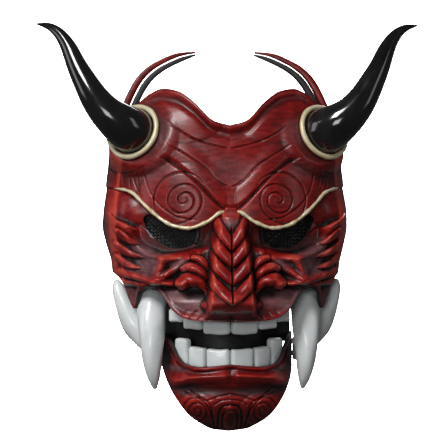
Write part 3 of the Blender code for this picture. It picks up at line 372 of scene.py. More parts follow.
def lower_face_relief(x, z):
    """Everything below the brow: sockets, nose, cheeks and upper lip."""
    x = np.abs(x)
    nose = NOSE_HEIGHT(z) * fade(4.0, -2.0, x - NOSE_HALF(z))
    rolls, hole = nostril_relief(x, z)
    leaves = leaf_relief(x, z)
    base = np.maximum(nose + leaves * fade(4, -2, z), rolls) + hole
    base = np.maximum(base, 16.0 * dome(x, z, (0, -66.5), (23, 7.5), 1.0, 0.6))
    below_brow = fade(6.0, -4.0, z - BROW_EDGE(x))
    above_cheek = fade(-2.0, 3.0, z - CHEEK_TOP(x))
    socket = -11.0 * below_brow * above_cheek * fade(14, 24, x) * fade(93, 60, x)
    recess = -7.0 * fade(-3.0, 2.0, z - BROW_EDGE(x)) * fade(3, 9, x)
    muzzle = 6.0 * fade(-54, -66, z) * fade(68, 44, x)
    lip = 2.6 * fade(6.5, 1.0, z - FACE_LOWER_EDGE(x)) * fade(50, 38, x)
    collar = 2.8 * np.exp(-((z - FACE_LOWER_EDGE(x) - 2.5) / 3.2) ** 2) * fade(44, 52, x) * fade(76, 66, x)
    philtrum = groove(x, z, [(0, -74), (0, -80)], 1.6, 1.6)
    creases = np.zeros_like(x)
    for start in (12, 19, 26, 33):
        creases += groove(x, z, [(start, -71), (start + 6, -77.5)], 0.8, 0.5)
    return base + socket + recess + muzzle + lip + collar + philtrum + creases + cheek_relief(x, z)


def jaw_relief(x, z):
    """Two lip ridges, a chin with spirals at its sides and an arch in the middle."""
    x = np.abs(x)
    upper = JAW_UPPER_EDGE(x)
    relief = 3.2 * fade(4.0, 0.8, upper - z) * fade(53, 46, x)
    relief += -2.2 * np.exp(-((upper - z - 5.0) / 2.0) ** 2) * fade(2, 20, x)
    ridge = smooth_path([(0, -119.6), (18, -119.8), (31, -121.6), (40, -124.4), (46, -124)], 30)
    relief += crease(x, z, ridge, 6.5, 5.6)
    relief += -1.6 * np.exp(-((z + 131.0) / 4.0) ** 2) * fade(46, 36, x)
    relief += dome(x, z, (24, -147), (18, 14), 2.6)
    relief += dome(x, z, (0, -154), (5.6, 11), 2.2)
    relief += groove(x, z, spiral_points(CHIN_SPIRAL, 200, CHIN_SPIRAL_RADII), FINE_LINE, 1.1)
    curves = (
        ([(31, -131.5), (22, -137.5), (14.5, -148), (11, -162)], 0.75, 1.5),
        ([(35, -133.5), (29, -135), (18, -139.5)], FINE_LINE, 1.0),
        ([(18.5, -139.2), (10, -136), (0, -133.8)], FINE_LINE, 1.1),
        ([(13, -142.5), (6.5, -139), (0, -138)], FINE_LINE, 0.9),
        ([(0, -142.2), (5, -143.2), (8.2, -147), (9.0, -153), (9.0, -163)], 0.8, 1.7),
        ([(0, -146.5), (3.4, -148), (5.4, -152.5), (5.8, -162)], 0.7, 1.2),
    )
    return engraved(relief, x, z, curves, 30)


# ---------------------------------------------------------------- surfaces

def plain_seat_y():
    """The y of the horn seats' middle, off the plain section."""
    share = HORN_SEAT[0] / FACE_WIDTH(HORN_SEAT[1])
    return float(-FACE_DEPTH(HORN_SEAT[1]) * (1 - share ** SECTION_POWER) ** (1 / SECTION_POWER) - SEAT_RISE)


SEAT = Vector((-HORN_SEAT[0], plain_seat_y(), HORN_SEAT[1]))
SEAT_AXIS = Vector((-HORN_NORMAL.x, HORN_NORMAL.y, HORN_NORMAL.z))


def with_seat(x, y, z, forward):
    """Flattens the surface under each horn, square to the horn's axis."""
    lean = HORN_NORMAL.x * (np.abs(x) - HORN_SEAT[0]) + HORN_NORMAL.z * (z - HORN_SEAT[1])
    flat = SEAT.y + lean / -HORN_NORMAL.y
    reach = np.hypot(np.abs(x) - HORN_SEAT[0], z - HORN_SEAT[1])
    seat = fade(COLLAR_OUTER + SEAT_BLEND, COLLAR_OUTER, reach) * fade(0.1, 0.34, forward)
    return y * (1 - seat) + flat * seat


def forehead_point(turn, height):
    """The outer surface above the brow's edge; height runs from 0 at that edge to 1 at the top."""
    across, forward = section(turn)
    low = edge_height(BROW_EDGE, FACE_WIDTH, across)
    high = edge_height(FACE_UPPER_EDGE, FACE_WIDTH, across)
    z = low + (high - low) * height
    x = across * FACE_WIDTH(z)
    y = -forward * FACE_DEPTH(z) - (forehead_relief(x, z) + 1.2) * fade(0.0, 0.35, forward)
    x = x + np.sign(x) * 0.9 * fade(0.35, 0.1, forward)
    return np.stack((x, np.minimum(with_seat(x, y, z, forward), 0.0), z), axis=-1)


def lower_face_point(turn, height):
    """The outer surface from the lip up to a little above the brow's edge, behind it."""
    across, forward = section(turn)
    low = edge_height(FACE_LOWER_EDGE, FACE_WIDTH, across)
    high = edge_height(BROW_EDGE, FACE_WIDTH, across) + 7.0
    z = low + (high - low) * height
    x = across * FACE_WIDTH(z)
    y = -forward * FACE_DEPTH(z) - lower_face_relief(x, z) * fade(0.0, 0.35, forward)
    eye = 1.0 - fade(0.9, 1.45, np.hypot((np.abs(x) - 44) / 25, (z + 14) / 13.5))
    y = y * (1 - eye) + np.maximum(y, EYE_FLOOR_Y + EYE_FLOOR_SLOPE * (np.abs(x) - EYE_MIDDLE_X)) * eye
    return np.stack((x, np.minimum(with_seat(x, y, z, forward), 0.0), z), axis=-1)


def jaw_point(turn, height):
    """The jaw's outer surface, from the chin's lower edge to the lip."""
    across, forward = section(turn * JAW_REAR_TURN, JAW_SECTION)
    x = across * JAW_HALF_WIDTH
    low = JAW_LOWER_EDGE(np.abs(x))
    z = low + (JAW_UPPER_EDGE(np.abs(x)) - low) * height
    y = -forward * JAW_DEPTH(z) - jaw_relief(x, z) * fade(0.0, 0.4, forward)
    return np.stack((x, y, z), axis=-1)


def surface_y(point_of, x, z):
    """The outer y of a surface at one x and z, found on its own grid line."""
    across = x / float(FACE_WIDTH(z))
    turn = np.array([float(np.interp(abs(across), FACE_SECTION[1], FACE_SECTION[0]))])
    low, high = (float(point_of(turn, np.array([end]))[0][2]) for end in (0.0, 1.0))
    return float(point_of(turn, np.array([(z - low) / (high - low)]))[0][1])


# ---------------------------------------------------------------- pieces

def new_piece(name, vertices, faces, looks, body, faces_look=None, smooth_angle=60.0):
    """A mesh object from points in millimetres that rides on a CAD body."""
    mesh = bpy.data.meshes.new(name)
    mesh.from_pydata((np.asarray(vertices, float) * MM).tolist(), [], faces)
    for look in looks:
        mesh.materials.append(look)
    if faces_look is not None:
        mesh.polygons.foreach_set("material_index", faces_look)
    work = bmesh.new()
    work.from_mesh(mesh)
    bmesh.ops.recalc_face_normals(work, faces=work.faces)
    work.to_mesh(mesh)
    work.free()
    mesh.shade_smooth()
    if smooth_angle < 180.0:
        mesh.set_sharp_from_angle(angle=math.radians(smooth_angle))
    made = bpy.data.objects.new(name, mesh)
    bpy.context.scene.collection.objects.link(made)
    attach(made, body)
    return made


def set_field(mesh, name, values):
    """Stores one number for each vertex for the materials to read."""
    field = mesh.attributes.new(name=name, type="FLOAT", domain="POINT")
    field.data.foreach_set("value", np.asarray(values, np.float32))


def blurred(field, reach):
    """A grid of numbers averaged over a square of the given reach."""
    for axis in (0, 1):
        padded = np.concatenate([np.repeat(np.take(field, [0], axis), reach, axis), field,
                                 np.repeat(np.take(field, [-1], axis), reach, axis)], axis)
        total = np.cumsum(padded, axis=axis)
        total = np.concatenate((np.zeros_like(np.take(total, [0], axis)), total), axis)
        size = field.shape[axis]
        high = np.take(total, range(2 * reach + 1, 2 * reach + 1 + size), axis)
        low = np.take(total, range(0, size), axis)
        field = (high - low) / (2 * reach + 1)
    return field


def shell_piece(name, point_of, wall, turns, rows, looks, body, table=FACE_SECTION, span=1.0):
    """A closed shell with a fine outer surface, a coarser inner one and rims between them."""
    turn, height = np.meshgrid(turns, np.linspace(0, 1, rows + 1), indexing="ij")
    outer = point_of(turn, height)
    across, forward = section(turn * span, table)
    inward = np.stack((-np.sign(across) * np.abs(across) ** 1.4, np.maximum(forward, 1e-6) ** 1.4,
                       np.zeros_like(across)), axis=-1)
    inward /= np.linalg.norm(inward, axis=-1)[..., None]
    kept = list(range(0, rows, INNER_STEP)) + [rows]
    inner = outer.copy()
    inner[..., 1] = blurred(outer[..., 1], INSIDE_REACH)
    inner = inner + inward * wall
    inner[..., 1] = np.maximum(inner[..., 1], outer[..., 1] + 1.0)
    inner[0, :, 1] = outer[0, :, 1]
    inner[-1, :, 1] = outer[-1, :, 1]
    inner = inner[:, kept]
    columns = len(turns) - 1
    stride, inner_stride = rows + 1, len(kept)
    start = (columns + 1) * stride

    def out(i, j):
        return i * stride + j

    def back(i, j):
        return start + i * inner_stride + j

    faces = []
    for i in range(columns):
        faces += [(out(i, j), out(i + 1, j), out(i + 1, j + 1), out(i, j + 1)) for j in range(rows)]
    outside = len(faces)
    for i in range(columns):
        faces += [(back(i, j), back(i, j + 1), back(i + 1, j + 1), back(i + 1, j))
                  for j in range(inner_stride - 1)]
        faces.append((out(i, 0), back(i, 0), back(i + 1, 0), out(i + 1, 0)))
        faces.append((out(i, rows), out(i + 1, rows), back(i + 1, inner_stride - 1), back(i, inner_stride - 1)))
    for i in (0, columns):
        faces.append(tuple(out(i, j) for j in range(rows + 1))
                     + tuple(back(i, j) for j in reversed(range(inner_stride))))
    index = np.zeros(len(faces), int)
    index[outside:] = 1
    points = np.concatenate((outer.reshape(-1, 3), inner.reshape(-1, 3)))
    made = new_piece(name, points, faces, looks, body, index)
    depth = -outer[..., 1]
    count = inner.shape[0] * inner.shape[1]
    for field_name, reach in (("fine", FINE_REACH), ("broad", BROAD_REACH)):
        raised = depth - blurred(depth, reach)
        set_field(made.data, field_name, np.concatenate((raised.ravel(), np.zeros(count))))
    return made


def front_turns(front, side):
    """Column places: close together across the face, further apart on the side walls."""
    middle = np.linspace(-FRONT_TURN, FRONT_TURN, front + 1)
    wall = np.linspace(FRONT_TURN, 1.0, side + 1)[1:]
    return np.concatenate((-wall[::-1], middle, wall))


def frame_across(normal):
    """Two directions square to a normal and to each other."""
    normal = Vector(normal).normalized()
    side = normal.cross(Vector((0, 0, 1)))
    if side.length < 0.1:
        side = normal.cross(Vector((0, 1, 0)))
    side.normalize()
    return side, normal.cross(side)


def skin(loops, close_ends=True):
    """Vertices and faces of a skin over closed loops of equal length."""
    count = len(loops[0])
    vertices = [tuple(p) for loop in loops for p in loop]
    faces = []
    for row in range(len(loops) - 1):
        for i in range(count):
            j = (i + 1) % count
            faces.append((row * count + i, row * count + j, (row + 1) * count + j, (row + 1) * count + i))
    if close_ends:
        faces.append(tuple(range(count - 1, -1, -1)))
        faces.append(tuple((len(loops) - 1) * count + i for i in range(count)))
    return vertices, faces


def tube_loops(path, radii, sides, first_axis=None, ripple=None):
    """Rings along a path; ripple(share, angle) changes the radius."""
    path = [Vector(p) for p in path]
    loops = []
    side = None
    for i, point in enumerate(path):
        ahead = (path[min(i + 1, len(path) - 1)] - path[max(i - 1, 0)]).normalized()
        if first_axis is not None and i < 2:
            ahead = first_axis
        side = frame_across(ahead)[0] if side is None else (side - ahead * side.dot(ahead)).normalized()
        up = ahead.cross(side)
        loop = []
        for k in range(sides):
            a = 2 * math.pi * k / sides
            r = radii[i] * (1.0 if ripple is None else 1.0 + ripple(i / (len(path) - 1), a))
            loop.append(point + (side * math.cos(a) + up * math.sin(a)) * r)
        loops.append(loop)
    return loops


def mirrored(points):
    """The same points on the other side."""
    return [(-p[0], p[1], p[2]) for p in points]


def both_sides(kind, vertices, faces, slot, body, smooth_angle=60.0):
    """The left piece and its mirror image, each standing for its CAD node."""
    for side in ("left", "right"):
        points = vertices if side == "left" else mirrored(vertices)
        piece = new_piece(f"{side}_{kind}_skin", points, faces, [LOOKS[slot]], body, None, smooth_angle)
        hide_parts(f"{side}_{kind}")


# ---------------------------------------------------------------- materials

def add(tree, kind, inputs=(), **settings):
    """A shader node; each input is a number, a colour or another node's output."""
    made = tree.nodes.new(kind)
    for key, value in settings.items():
        setattr(made, key, value)
    for key, value in dict(inputs).items():
        if isinstance(value, bpy.types.NodeSocket):
            tree.links.new(value, made.inputs[key])
        else:
            made.inputs[key].default_value = value
    return made


def new_look(name, roughness, metallic=0.0, coat=0.0, coat_roughness=0.1):
    """A Principled material and its tree, shader and place vector in metres."""
    look = bpy.data.materials.new(name)
    look.use_nodes = True
    tree = look.node_tree
    shader = tree.nodes["Principled BSDF"]
    shader.inputs["Roughness"].default_value = roughness
    shader.inputs["Metallic"].default_value = metallic
    shader.inputs["Coat Weight"].default_value = coat
    shader.inputs["Coat Roughness"].default_value = coat_roughness
    place = add(tree, "ShaderNodeTexCoord").outputs["Object"]
    return look, tree, shader, place


def colour(rgb):
    """A socket's colour from three shares."""
    return (*rgb, 1.0)


def noise(tree, place, scale, detail=4.0, roughness=0.55, stretch=None):
    """Fractal noise between 0 and 1; stretch scales it differently along X, Y and Z."""
    if stretch is not None:
        place = add(tree, "ShaderNodeMapping", {"Vector": place, "Scale": stretch}).outputs["Vector"]
    made = add(tree, "ShaderNodeTexNoise", {"Vector": place, "Scale": scale, "Detail": detail,
                                            "Roughness": roughness})
    return made.outputs["Fac"]


def maths(tree, operation, first, second):
    """One sum on two values."""
    return add(tree, "ShaderNodeMath", {0: first, 1: second}, operation=operation).outputs["Value"]


def spread(tree, value, low, high, to_low=0.0, to_high=1.0):
    """A value moved from one range to another and kept inside it."""
    made = add(tree, "ShaderNodeMapRange", {"Value": value, "From Min": low, "From Max": high,
                                            "To Min": to_low, "To Max": to_high})
    return made.outputs["Result"]


def ramp(tree, value, stops):
    """A colour for each value, from (position, rgb) stops."""
    made = add(tree, "ShaderNodeValToRGB", {"Fac": value})
    elements = made.color_ramp.elements
    while len(elements) < len(stops):
        elements.new(0.5)
    for element, (at, rgb) in zip(elements, stops):
        element.position = at
        element.color = colour(rgb)
    return made.outputs["Color"]


def blend(tree, share, first, second):
    """Two colours mixed by a share between 0 and 1."""
    made = add(tree, "ShaderNodeMix", data_type="RGBA", blend_type="MIX")
    for key, value in ((0, share), (6, first), (7, second)):
        if isinstance(value, bpy.types.NodeSocket):
            tree.links.new(value, made.inputs[key])
        else:
            made.inputs[key].default_value = value if key == 0 else colour(value)
    return made.outputs[2]


def bump(tree, shader, height, strength, distance):
    """Fine relief in the shader; distance is in metres."""
    made = add(tree, "ShaderNodeBump", {"Height": height, "Strength": strength, "Distance": distance})
    tree.links.new(made.outputs["Normal"], shader.inputs["Normal"])


def field(tree, name):
    """One of the numbers that set_field stored."""
    return add(tree, "ShaderNodeAttribute", attribute_name=name).outputs["Fac"]


def red_lacquer_look():
    """Brushed red paint, darker in the cuts and lighter on raised edges, as dark antiquing and wear together
    with painted shade and painted highlight; dull mauve in the hollows.
    """
    look, tree, shader, place = new_look("red_lacquer", 0.4, coat=0.12, coat_roughness=0.16)
    shader.inputs["Specular IOR Level"].default_value = 0.4
    fine = field(tree, "fine")
    broad = field(tree, "broad")
    blotch = noise(tree, place, 38.0, 5.0, 0.62)
    brush = noise(tree, place, 210.0, 4.0, 0.65, (0.55, 1.0, 1.9))
    grain = noise(tree, place, 620.0, 3.0, 0.6)
    # Lightness from the relief: cuts and recessed forms come out darker and raised ridges lighter, partly
    # antiquing and wear, partly painted shade and painted highlight.
    height = maths(tree, "MULTIPLY", fine, 0.30)
    height = maths(tree, "ADD", height, maths(tree, "MULTIPLY", broad, 0.045))
    height = maths(tree, "ADD", height, spread(tree, blotch, 0.3, 0.7, -0.10, 0.10))
    height = maths(tree, "ADD", height, spread(tree, brush, 0.25, 0.75, -0.13, 0.13))
    height = maths(tree, "ADD", height, 0.54)
    # The darkening field pulls the paint towards black: painted shade in the eye sockets, nostrils, under the
    # cheek plates and on the chin, and real dark paint at the mouth corners and round the horn seats.
    height = maths(tree, "SUBTRACT", height, maths(tree, "MULTIPLY", field(tree, "dark_paint_and_painted_shade"), 0.42))
    paint = ramp(tree, height, [(0.0, (0.003, 0.001, 0.001)), (0.22, (0.018, 0.002, 0.002)),
                                (0.40, (0.085, 0.003, 0.003)), (0.55, (0.190, 0.006, 0.006)),
                                (0.72, (0.330, 0.013, 0.010)), (1.0, (0.560, 0.060, 0.040))])
    haze = maths(tree, "MULTIPLY", field(tree, "haze"), spread(tree, blotch, 0.25, 0.58, 0.45, 1.0))
    raised = maths(tree, "ADD", fine, maths(tree, "MULTIPLY", broad, 0.2))
    haze = maths(tree, "MULTIPLY", haze, spread(tree, raised, 0.12, 0.7, 1.0, 0.15))
    mauve = ramp(tree, height, [(0.1, (0.012, 0.004, 0.006)), (0.45, (0.130, 0.060, 0.068)),
                                (0.9, (0.330, 0.190, 0.200))])
    paint = blend(tree, haze, paint, mauve)
    fleck = spread(tree, grain, 0.64, 0.74)
    paint = blend(tree, maths(tree, "MULTIPLY", fleck, 0.45), paint, (0.030, 0.008, 0.008))
    tree.links.new(paint, shader.inputs["Base Color"])
    rough = spread(tree, brush, 0.2, 0.8, 0.24, 0.44)
    rough = maths(tree, "ADD", rough, spread(tree, height, 0.15, 0.5, 0.30, 0.0))
    tree.links.new(rough, shader.inputs["Roughness"])
    bump(tree, shader, maths(tree, "ADD", brush, maths(tree, "MULTIPLY", grain, 0.5)), 0.55, 0.00035)
    return look


def inside_look():
    """The dull black inside of the casting."""
    look, tree, shader, place = new_look("inside_paint", 0.75)
    mottle = noise(tree, place, 90.0, 5.0)
    tree.links.new(ramp(tree, mottle, [(0.3, (0.010, 0.009, 0.010)), (0.7, (0.035, 0.030, 0.032))]),
                   shader.inputs["Base Color"])
    tree.links.new(spread(tree, mottle, 0.3, 0.7, 0.6, 0.85), shader.inputs["Roughness"])
    bump(tree, shader, noise(tree, place, 500.0), 0.5, 0.0004)
    return look


def horn_black_look():
    """Deep polished black with long faint streaks."""
    look, tree, shader, place = new_look("horn_black", 0.12, coat=0.8, coat_roughness=0.05)
    streak = noise(tree, place, 60.0, 5.0, 0.6, (1.0, 1.0, 0.25))
    tree.links.new(ramp(tree, streak, [(0.35, (0.003, 0.003, 0.0035)), (0.75, (0.014, 0.013, 0.014))]),
                   shader.inputs["Base Color"])
    tree.links.new(spread(tree, streak, 0.3, 0.8, 0.10, 0.26), shader.inputs["Roughness"])
    bump(tree, shader, noise(tree, place, 55.0, 3.0, 0.5), 0.22, 0.0012)
    return look


def gilt_look():
    """Old gold paint, dull and darker in patches."""
    look, tree, shader, place = new_look("gilt", 0.35, metallic=0.15, coat=0.4)
    patch = noise(tree, place, 130.0, 5.0, 0.6)
    tree.links.new(ramp(tree, patch, [(0.26, (0.300, 0.190, 0.075)), (0.40, (0.760, 0.640, 0.380)),
                                      (0.75, (0.900, 0.830, 0.620))]), shader.inputs["Base Color"])
    tree.links.new(spread(tree, patch, 0.3, 0.7, 0.48, 0.26), shader.inputs["Roughness"])
    bump(tree, shader, noise(tree, place, 420.0), 0.4, 0.0003)
    return look


def ivory_look():
    """Cool white enamel with faint grey mottling and a little brown in the fine cracks."""
    look, tree, shader, place = new_look("ivory", 0.3, coat=0.5, coat_roughness=0.12)
    shader.inputs["Subsurface Weight"].default_value = 0.08
    shader.inputs["Subsurface Radius"].default_value = (0.004, 0.003, 0.002)
    cloud = noise(tree, place, 60.0, 6.0, 0.6)
    shade = ramp(tree, cloud, [(0.25, (0.760, 0.800, 0.790)), (0.50, (0.860, 0.900, 0.900)),
                               (0.75, (0.900, 0.940, 0.940))])
    crack = noise(tree, place, 240.0, 6.0, 0.7, (1.0, 1.0, 0.35))
    shade = blend(tree, spread(tree, crack, 0.60, 0.72, 0.0, 0.22), shade, (0.420, 0.370, 0.310))
    tree.links.new(shade, shader.inputs["Base Color"])
    tree.links.new(spread(tree, cloud, 0.3, 0.7, 0.38, 0.22), shader.inputs["Roughness"])
    bump(tree, shader, crack, 0.25, 0.0003)
    return look


def black_mesh_look():
    """Black painted wire."""
    look, tree, shader, place = new_look("black_mesh", 0.45)
    wear = noise(tree, place, 400.0)
    tree.links.new(ramp(tree, wear, [(0.4, (0.004, 0.004, 0.005)), (0.8, (0.020, 0.020, 0.022))]),
                   shader.inputs["Base Color"])
    bump(tree, shader, wear, 0.3, 0.0002)
    return look


def dark_lining_look():
    """Matt near-black lining."""
    look, tree, shader, place = new_look("dark_lining", 0.55)
    mottle = noise(tree, place, 160.0, 5.0)
    tree.links.new(ramp(tree, mottle, [(0.3, (0.010, 0.008, 0.009)), (0.7, (0.036, 0.026, 0.028))]),
                   shader.inputs["Base Color"])
    bump(tree, shader, noise(tree, place, 600.0), 0.4, 0.0003)
    return look


def steel_look():
    """Brushed zinc-plated steel."""
    look, tree, shader, place = new_look("steel", 0.3, metallic=1.0)
    brushed = noise(tree, place, 380.0, 4.0, 0.6, (1.0, 1.0, 0.12))
    tree.links.new(ramp(tree, brushed, [(0.3, (0.330, 0.330, 0.340)), (0.7, (0.620, 0.620, 0.640))]),
                   shader.inputs["Base Color"])
    tree.links.new(spread(tree, brushed, 0.3, 0.7, 0.24, 0.42), shader.inputs["Roughness"])
    bump(tree, shader, brushed, 0.2, 0.0002)
    return look


def foam_look():
    """Black foam under a knitted cover."""
    look, tree, shader, place = new_look("foam", 0.92)
    shader.inputs["Sheen Weight"].default_value = 0.35
    knit = add(tree, "ShaderNodeTexVoronoi", {"Vector": place, "Scale": 900.0}).outputs["Distance"]
    tree.links.new(ramp(tree, knit, [(0.05, (0.045, 0.045, 0.050)), (0.6, (0.008, 0.008, 0.010))]),
                   shader.inputs["Base Color"])
    bump(tree, shader, knit, 0.6, 0.0006)
    return look


def floor_look():
    """The pale studio surface."""
    look, tree, shader, place = new_look("studio_floor", 0.6)
    tree.links.new(ramp(tree, noise(tree, place, 3.0), [(0.2, (0.90, 0.90, 0.90)), (0.8, (0.93, 0.93, 0.93))]),
                   shader.inputs["Base Color"])
    return look


LOOKS = {
    "red_lacquer": red_lacquer_look(),
    "inside": inside_look(),
    "horn_black": horn_black_look(),
    "gilt": gilt_look(),
    "ivory": ivory_look(),
    "black_mesh": black_mesh_look(),
    "dark_lining": dark_lining_look(),
    "steel": steel_look(),
    "foam": foam_look(),
}


# ---------------------------------------------------------------- the red shells

def spot_field(piece, name, spots):
    """A share from 0 to 1 at each vertex, from (x, z, radius x, radius z, strength) spots on both halves."""
    points = np.empty(len(piece.data.vertices) * 3)
    piece.data.vertices.foreach_get("co", points)
    points = points.reshape(-1, 3) / MM
    x, z = np.abs(points[:, 0]), points[:, 2]
    share = np.zeros(len(points))
    for centre_x, centre_z, radius_x, radius_z, strength in spots:
        away = np.hypot((x - centre_x) / radius_x, (z - centre_z) / radius_z)
        share = np.maximum(share, strength * fade(1.0, 0.35, away))
    set_field(piece.data, name, share)


def eye_outline():
    """The eye opening as seen from the front, on the right-hand side."""
    corners = [(24.5, -11.0), (34, -11.5), (44, -9.5), (54, -4.0), (61, 0.5), (65, -3.5), (61, -12.5),
               (52.5, -21), (43, -25.6), (34, -25.0), (26, -20), (24.5, -11.0)]
    return smooth_path(corners, 60)[:-1]


def cut_eyes(piece):
    """Opens the two eyes with prisms that run from front to back."""
    for side in (-1, 1):
        loops = [[(side * x, y, z) for x, z in eye_outline()] for y in (-130.0, -40.0)]
        vertices, faces = skin(loops)
        tool = new_piece("eye_tool", vertices, faces, [LOOKS["inside"]], MASK)
        cut = piece.modifiers.new("eye", "BOOLEAN")
        cut.solver = "EXACT"
        cut.object = tool
        with bpy.context.temp_override(object=piece, active_object=piece, selected_objects=[piece]):
            bpy.ops.object.modifier_apply(modifier=cut.name)
        bpy.data.objects.remove(tool)


FACE_TURNS = front_turns(FRONT_COLUMNS, SIDE_COLUMNS)
RED = [LOOKS["red_lacquer"], LOOKS["inside"]]

forehead = shell_piece("forehead_skin", forehead_point, FACE_WALL, FACE_TURNS, FOREHEAD_ROWS, RED, MASK)
spot_field(forehead, "haze", [(94, 40, 14, 40, 0.5), (52, 62, 22, 14, 0.35), (0, 33, 26, 14, 0.3),
                              (54, 34, 16, 12, 0.3)])
# Darker paint round the horn seats, as dark antiquing under the collars, and over the fan of grooves beside the
# brow.
spot_field(forehead, "dark_paint_and_painted_shade", [(*HORN_SEAT, 33, 33, 0.55), (80, 28, 18, 8, 0.3)])

lower_face = shell_piece("lower_face_skin", lower_face_point, FACE_WALL, FACE_TURNS, CHEEK_ROWS, RED, MASK)
cut_eyes(lower_face)
spot_field(lower_face, "haze", [(66, -33, 22, 19, 1.0), (94, -20, 10, 30, 0.5), (46, -63, 36, 13, 1.0),
                                (12, -71, 18, 8, 0.4), (78, -60, 14, 14, 0.8), (38, -38, 12, 9, 0.7),
                                (0, -4, 8, 9, 1.0)])
# Painted shade: the eye sockets and their inner corners, the nostrils, the shadow line under the cheek plates'
# lower edge and a cheek hollow.
spot_field(lower_face, "dark_paint_and_painted_shade", [(44, -12, 25, 16, 1.0), (24, -14, 6, 20, 0.6), (27.5, -59, 9, 5, 0.9),
                                (56, -54, 14, 2.4, 0.8), (38, -46, 6, 5, 0.5)])
for shell in (forehead, lower_face):
    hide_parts("face_shell")

JAW_TURNS = np.linspace(-1.0, 1.0, JAW_COLUMNS + 1)
jaw = shell_piece("jaw_skin", jaw_point, JAW_WALL, JAW_TURNS, JAW_ROWS, RED, JAW, JAW_SECTION, JAW_REAR_TURN)
spot_field(jaw, "haze", [(40, -116, 12, 3.5, 0.8), (24, -133, 26, 5, 0.4)])
# Black paint in the mouth corners; painted shade in the band under the lower lip ridge, in the chin's middle
# arch and on the underside of the chin.
spot_field(jaw, "dark_paint_and_painted_shade", [(49, -108, 9, 14, 1.0), (20, -131, 36, 7, 0.6), (0, -154, 7, 10, 0.8),
                         (22, -158, 36, 18, 0.4)])
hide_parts("jaw_shell")


# ---------------------------------------------------------------- horns, rings and beads

def horn_path(count):
    """The left horn's middle line from the seat, and its radii."""
    offsets = [(0, 0, 0), (8, 10, 5), (20, 14, 14), (29, 13, 25), (36.5, 10, 38), (43.5, 6, 51), (48.5, 2, 63),
               (54.5, -2, 73), (61, -5, 79.5), (67, -7, 82.3), (74, -9, 83)]
    radii = [18.0, 16.6, 13.4, 11.4, 9.6, 7.9, 6.6, 5.0, 3.6, 2.4, 0.7]
    path = [(SEAT.x - out, SEAT.y - ahead, SEAT.z + up) for out, ahead, up in offsets]
    run = np.concatenate(([0.0], np.cumsum(np.linalg.norm(np.diff(np.array(path), axis=0), axis=1))))
    return smooth_path(path, count), profile(list(zip(run, radii)))(np.linspace(0, run[-1], count))


def rounded_path(points, passes):
    """A path with its small kinks averaged away, ends kept."""
    points = np.array(points, float)
    for _ in range(passes):
        points[1:-1] = (points[:-2] + 2 * points[1:-1] + points[2:]) / 4
    return points


def make_horns():
    """S-curved polished horns, cut flat where they stand on the seats."""
    path, radii = horn_path(150)
    path = rounded_path(path, 60)
    foot = [SEAT + SEAT_AXIS * lift for lift in (0.4, 3.0, 7.0)]
    kept = [i for i, p in enumerate(path) if (Vector(p) - foot[-1]).dot(SEAT_AXIS) > 3.0]
    points = foot + [Vector(path[i]) for i in kept]
    sizes = [HORN_BASE_RADIUS, HORN_BASE_RADIUS * 0.995, HORN_BASE_RADIUS * 0.97] + [radii[i] for i in kept]
    points = [Vector(p) for p in [*points[:3], *rounded_path(points[3:], 20)]]
    sizes = np.concatenate((sizes[:3], rounded_path(np.array(sizes[3:])[:, None], 40)[:, 0]))
    tip = points[-1] + (points[-1] - points[-2]).normalized() * 0.6
    vertices, faces = skin(tube_loops([*points, tip], [*sizes, sizes[-1] * 0.35], 56, SEAT_AXIS))
    both_sides("horn", vertices, faces, "horn_black", MASK)


def make_collars():
    """Gilt rings round the horns' feet."""
    half = COLLAR_THICKNESS / 2
    side, up = frame_across(SEAT_AXIS)
    loops = []
    for k in range(96):
        turn = 2 * math.pi * k / 96
        out = side * math.cos(turn) + up * math.sin(turn)
        uneven = 0.12 * math.sin(5 * turn) + 0.08 * math.sin(11 * turn + 1)
        loop = []
        for i in range(16):
            a = 2 * math.pi * i / 16
            radius = HORN_BASE_RADIUS + COLLAR_CLEARANCE + half + (half + uneven) * math.sin(a)
            loop.append(SEAT + SEAT_AXIS * (0.35 + half + half * math.cos(a)) + out * radius)
        loops.append(loop)
    vertices, faces = skin(loops + [loops[0]], False)
    last = len(loops) * 16
    faces = [tuple(v - last if v >= last else v for v in face) for face in faces]
    both_sides("horn_collar", vertices[:last], faces, "gilt", MASK)


def make_brow_trims():
    """The gilt bead along each brow's lower edge, a little uneven, as it was laid by hand."""
    path = []
    for x in np.linspace(4.5, 88.0, 170):
        z = float(BROW_EDGE(x))
        path.append((-x, surface_y(forehead_point, x, z + 0.8) - 0.1, z - 0.5))
    path = rounded_path(path, 6)
    share = np.linspace(0.0, 1.0, len(path))
    radii = (1.35 + 0.18 * np.sin(share * 41) + 0.12 * np.sin(share * 97 + 2)) * fade(0.0, 0.03, share + 0.012)
    radii = radii * fade(1.012, 0.9, share)
    vertices, faces = skin(tube_loops(path, radii, 12))
    both_sides("brow_trim", vertices, faces, "gilt", MASK)


make_horns()
make_collars()
make_brow_trims()


# ---------------------------------------------------------------- tusks and teeth

def box_of(node):
    """A CAD node's box in millimetres."""
    low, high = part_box(node)
    return Vector(low) / MM, Vector(high) / MM


def make_tusk(kind, node_path, radii_points, body, count=70):
    """A smooth tapering tusk along the CAD tusk's line, set back as far as the CAD tusk is."""
    path = rounded_path(smooth_path(node_path, count), 30)
    radii = profile(radii_points)(np.linspace(0, 1, count))
    tip = path[-1] + (path[-1] - path[-2]) * 0.4

    def dent(share, angle):
        return 0.025 * math.sin(3 * angle + 9 * share) + 0.018 * math.sin(5 * angle - 14 * share)

    vertices, faces = skin(tube_loops([*path, tip], [*radii, radii[-1] * 0.45], 40, ripple=dent))
    vertices = np.array(vertices)
    vertices[:, 1] += box_of("left_" + kind)[0].y - vertices[:, 1].min()
    both_sides(kind, vertices.tolist(), faces, "ivory", body)


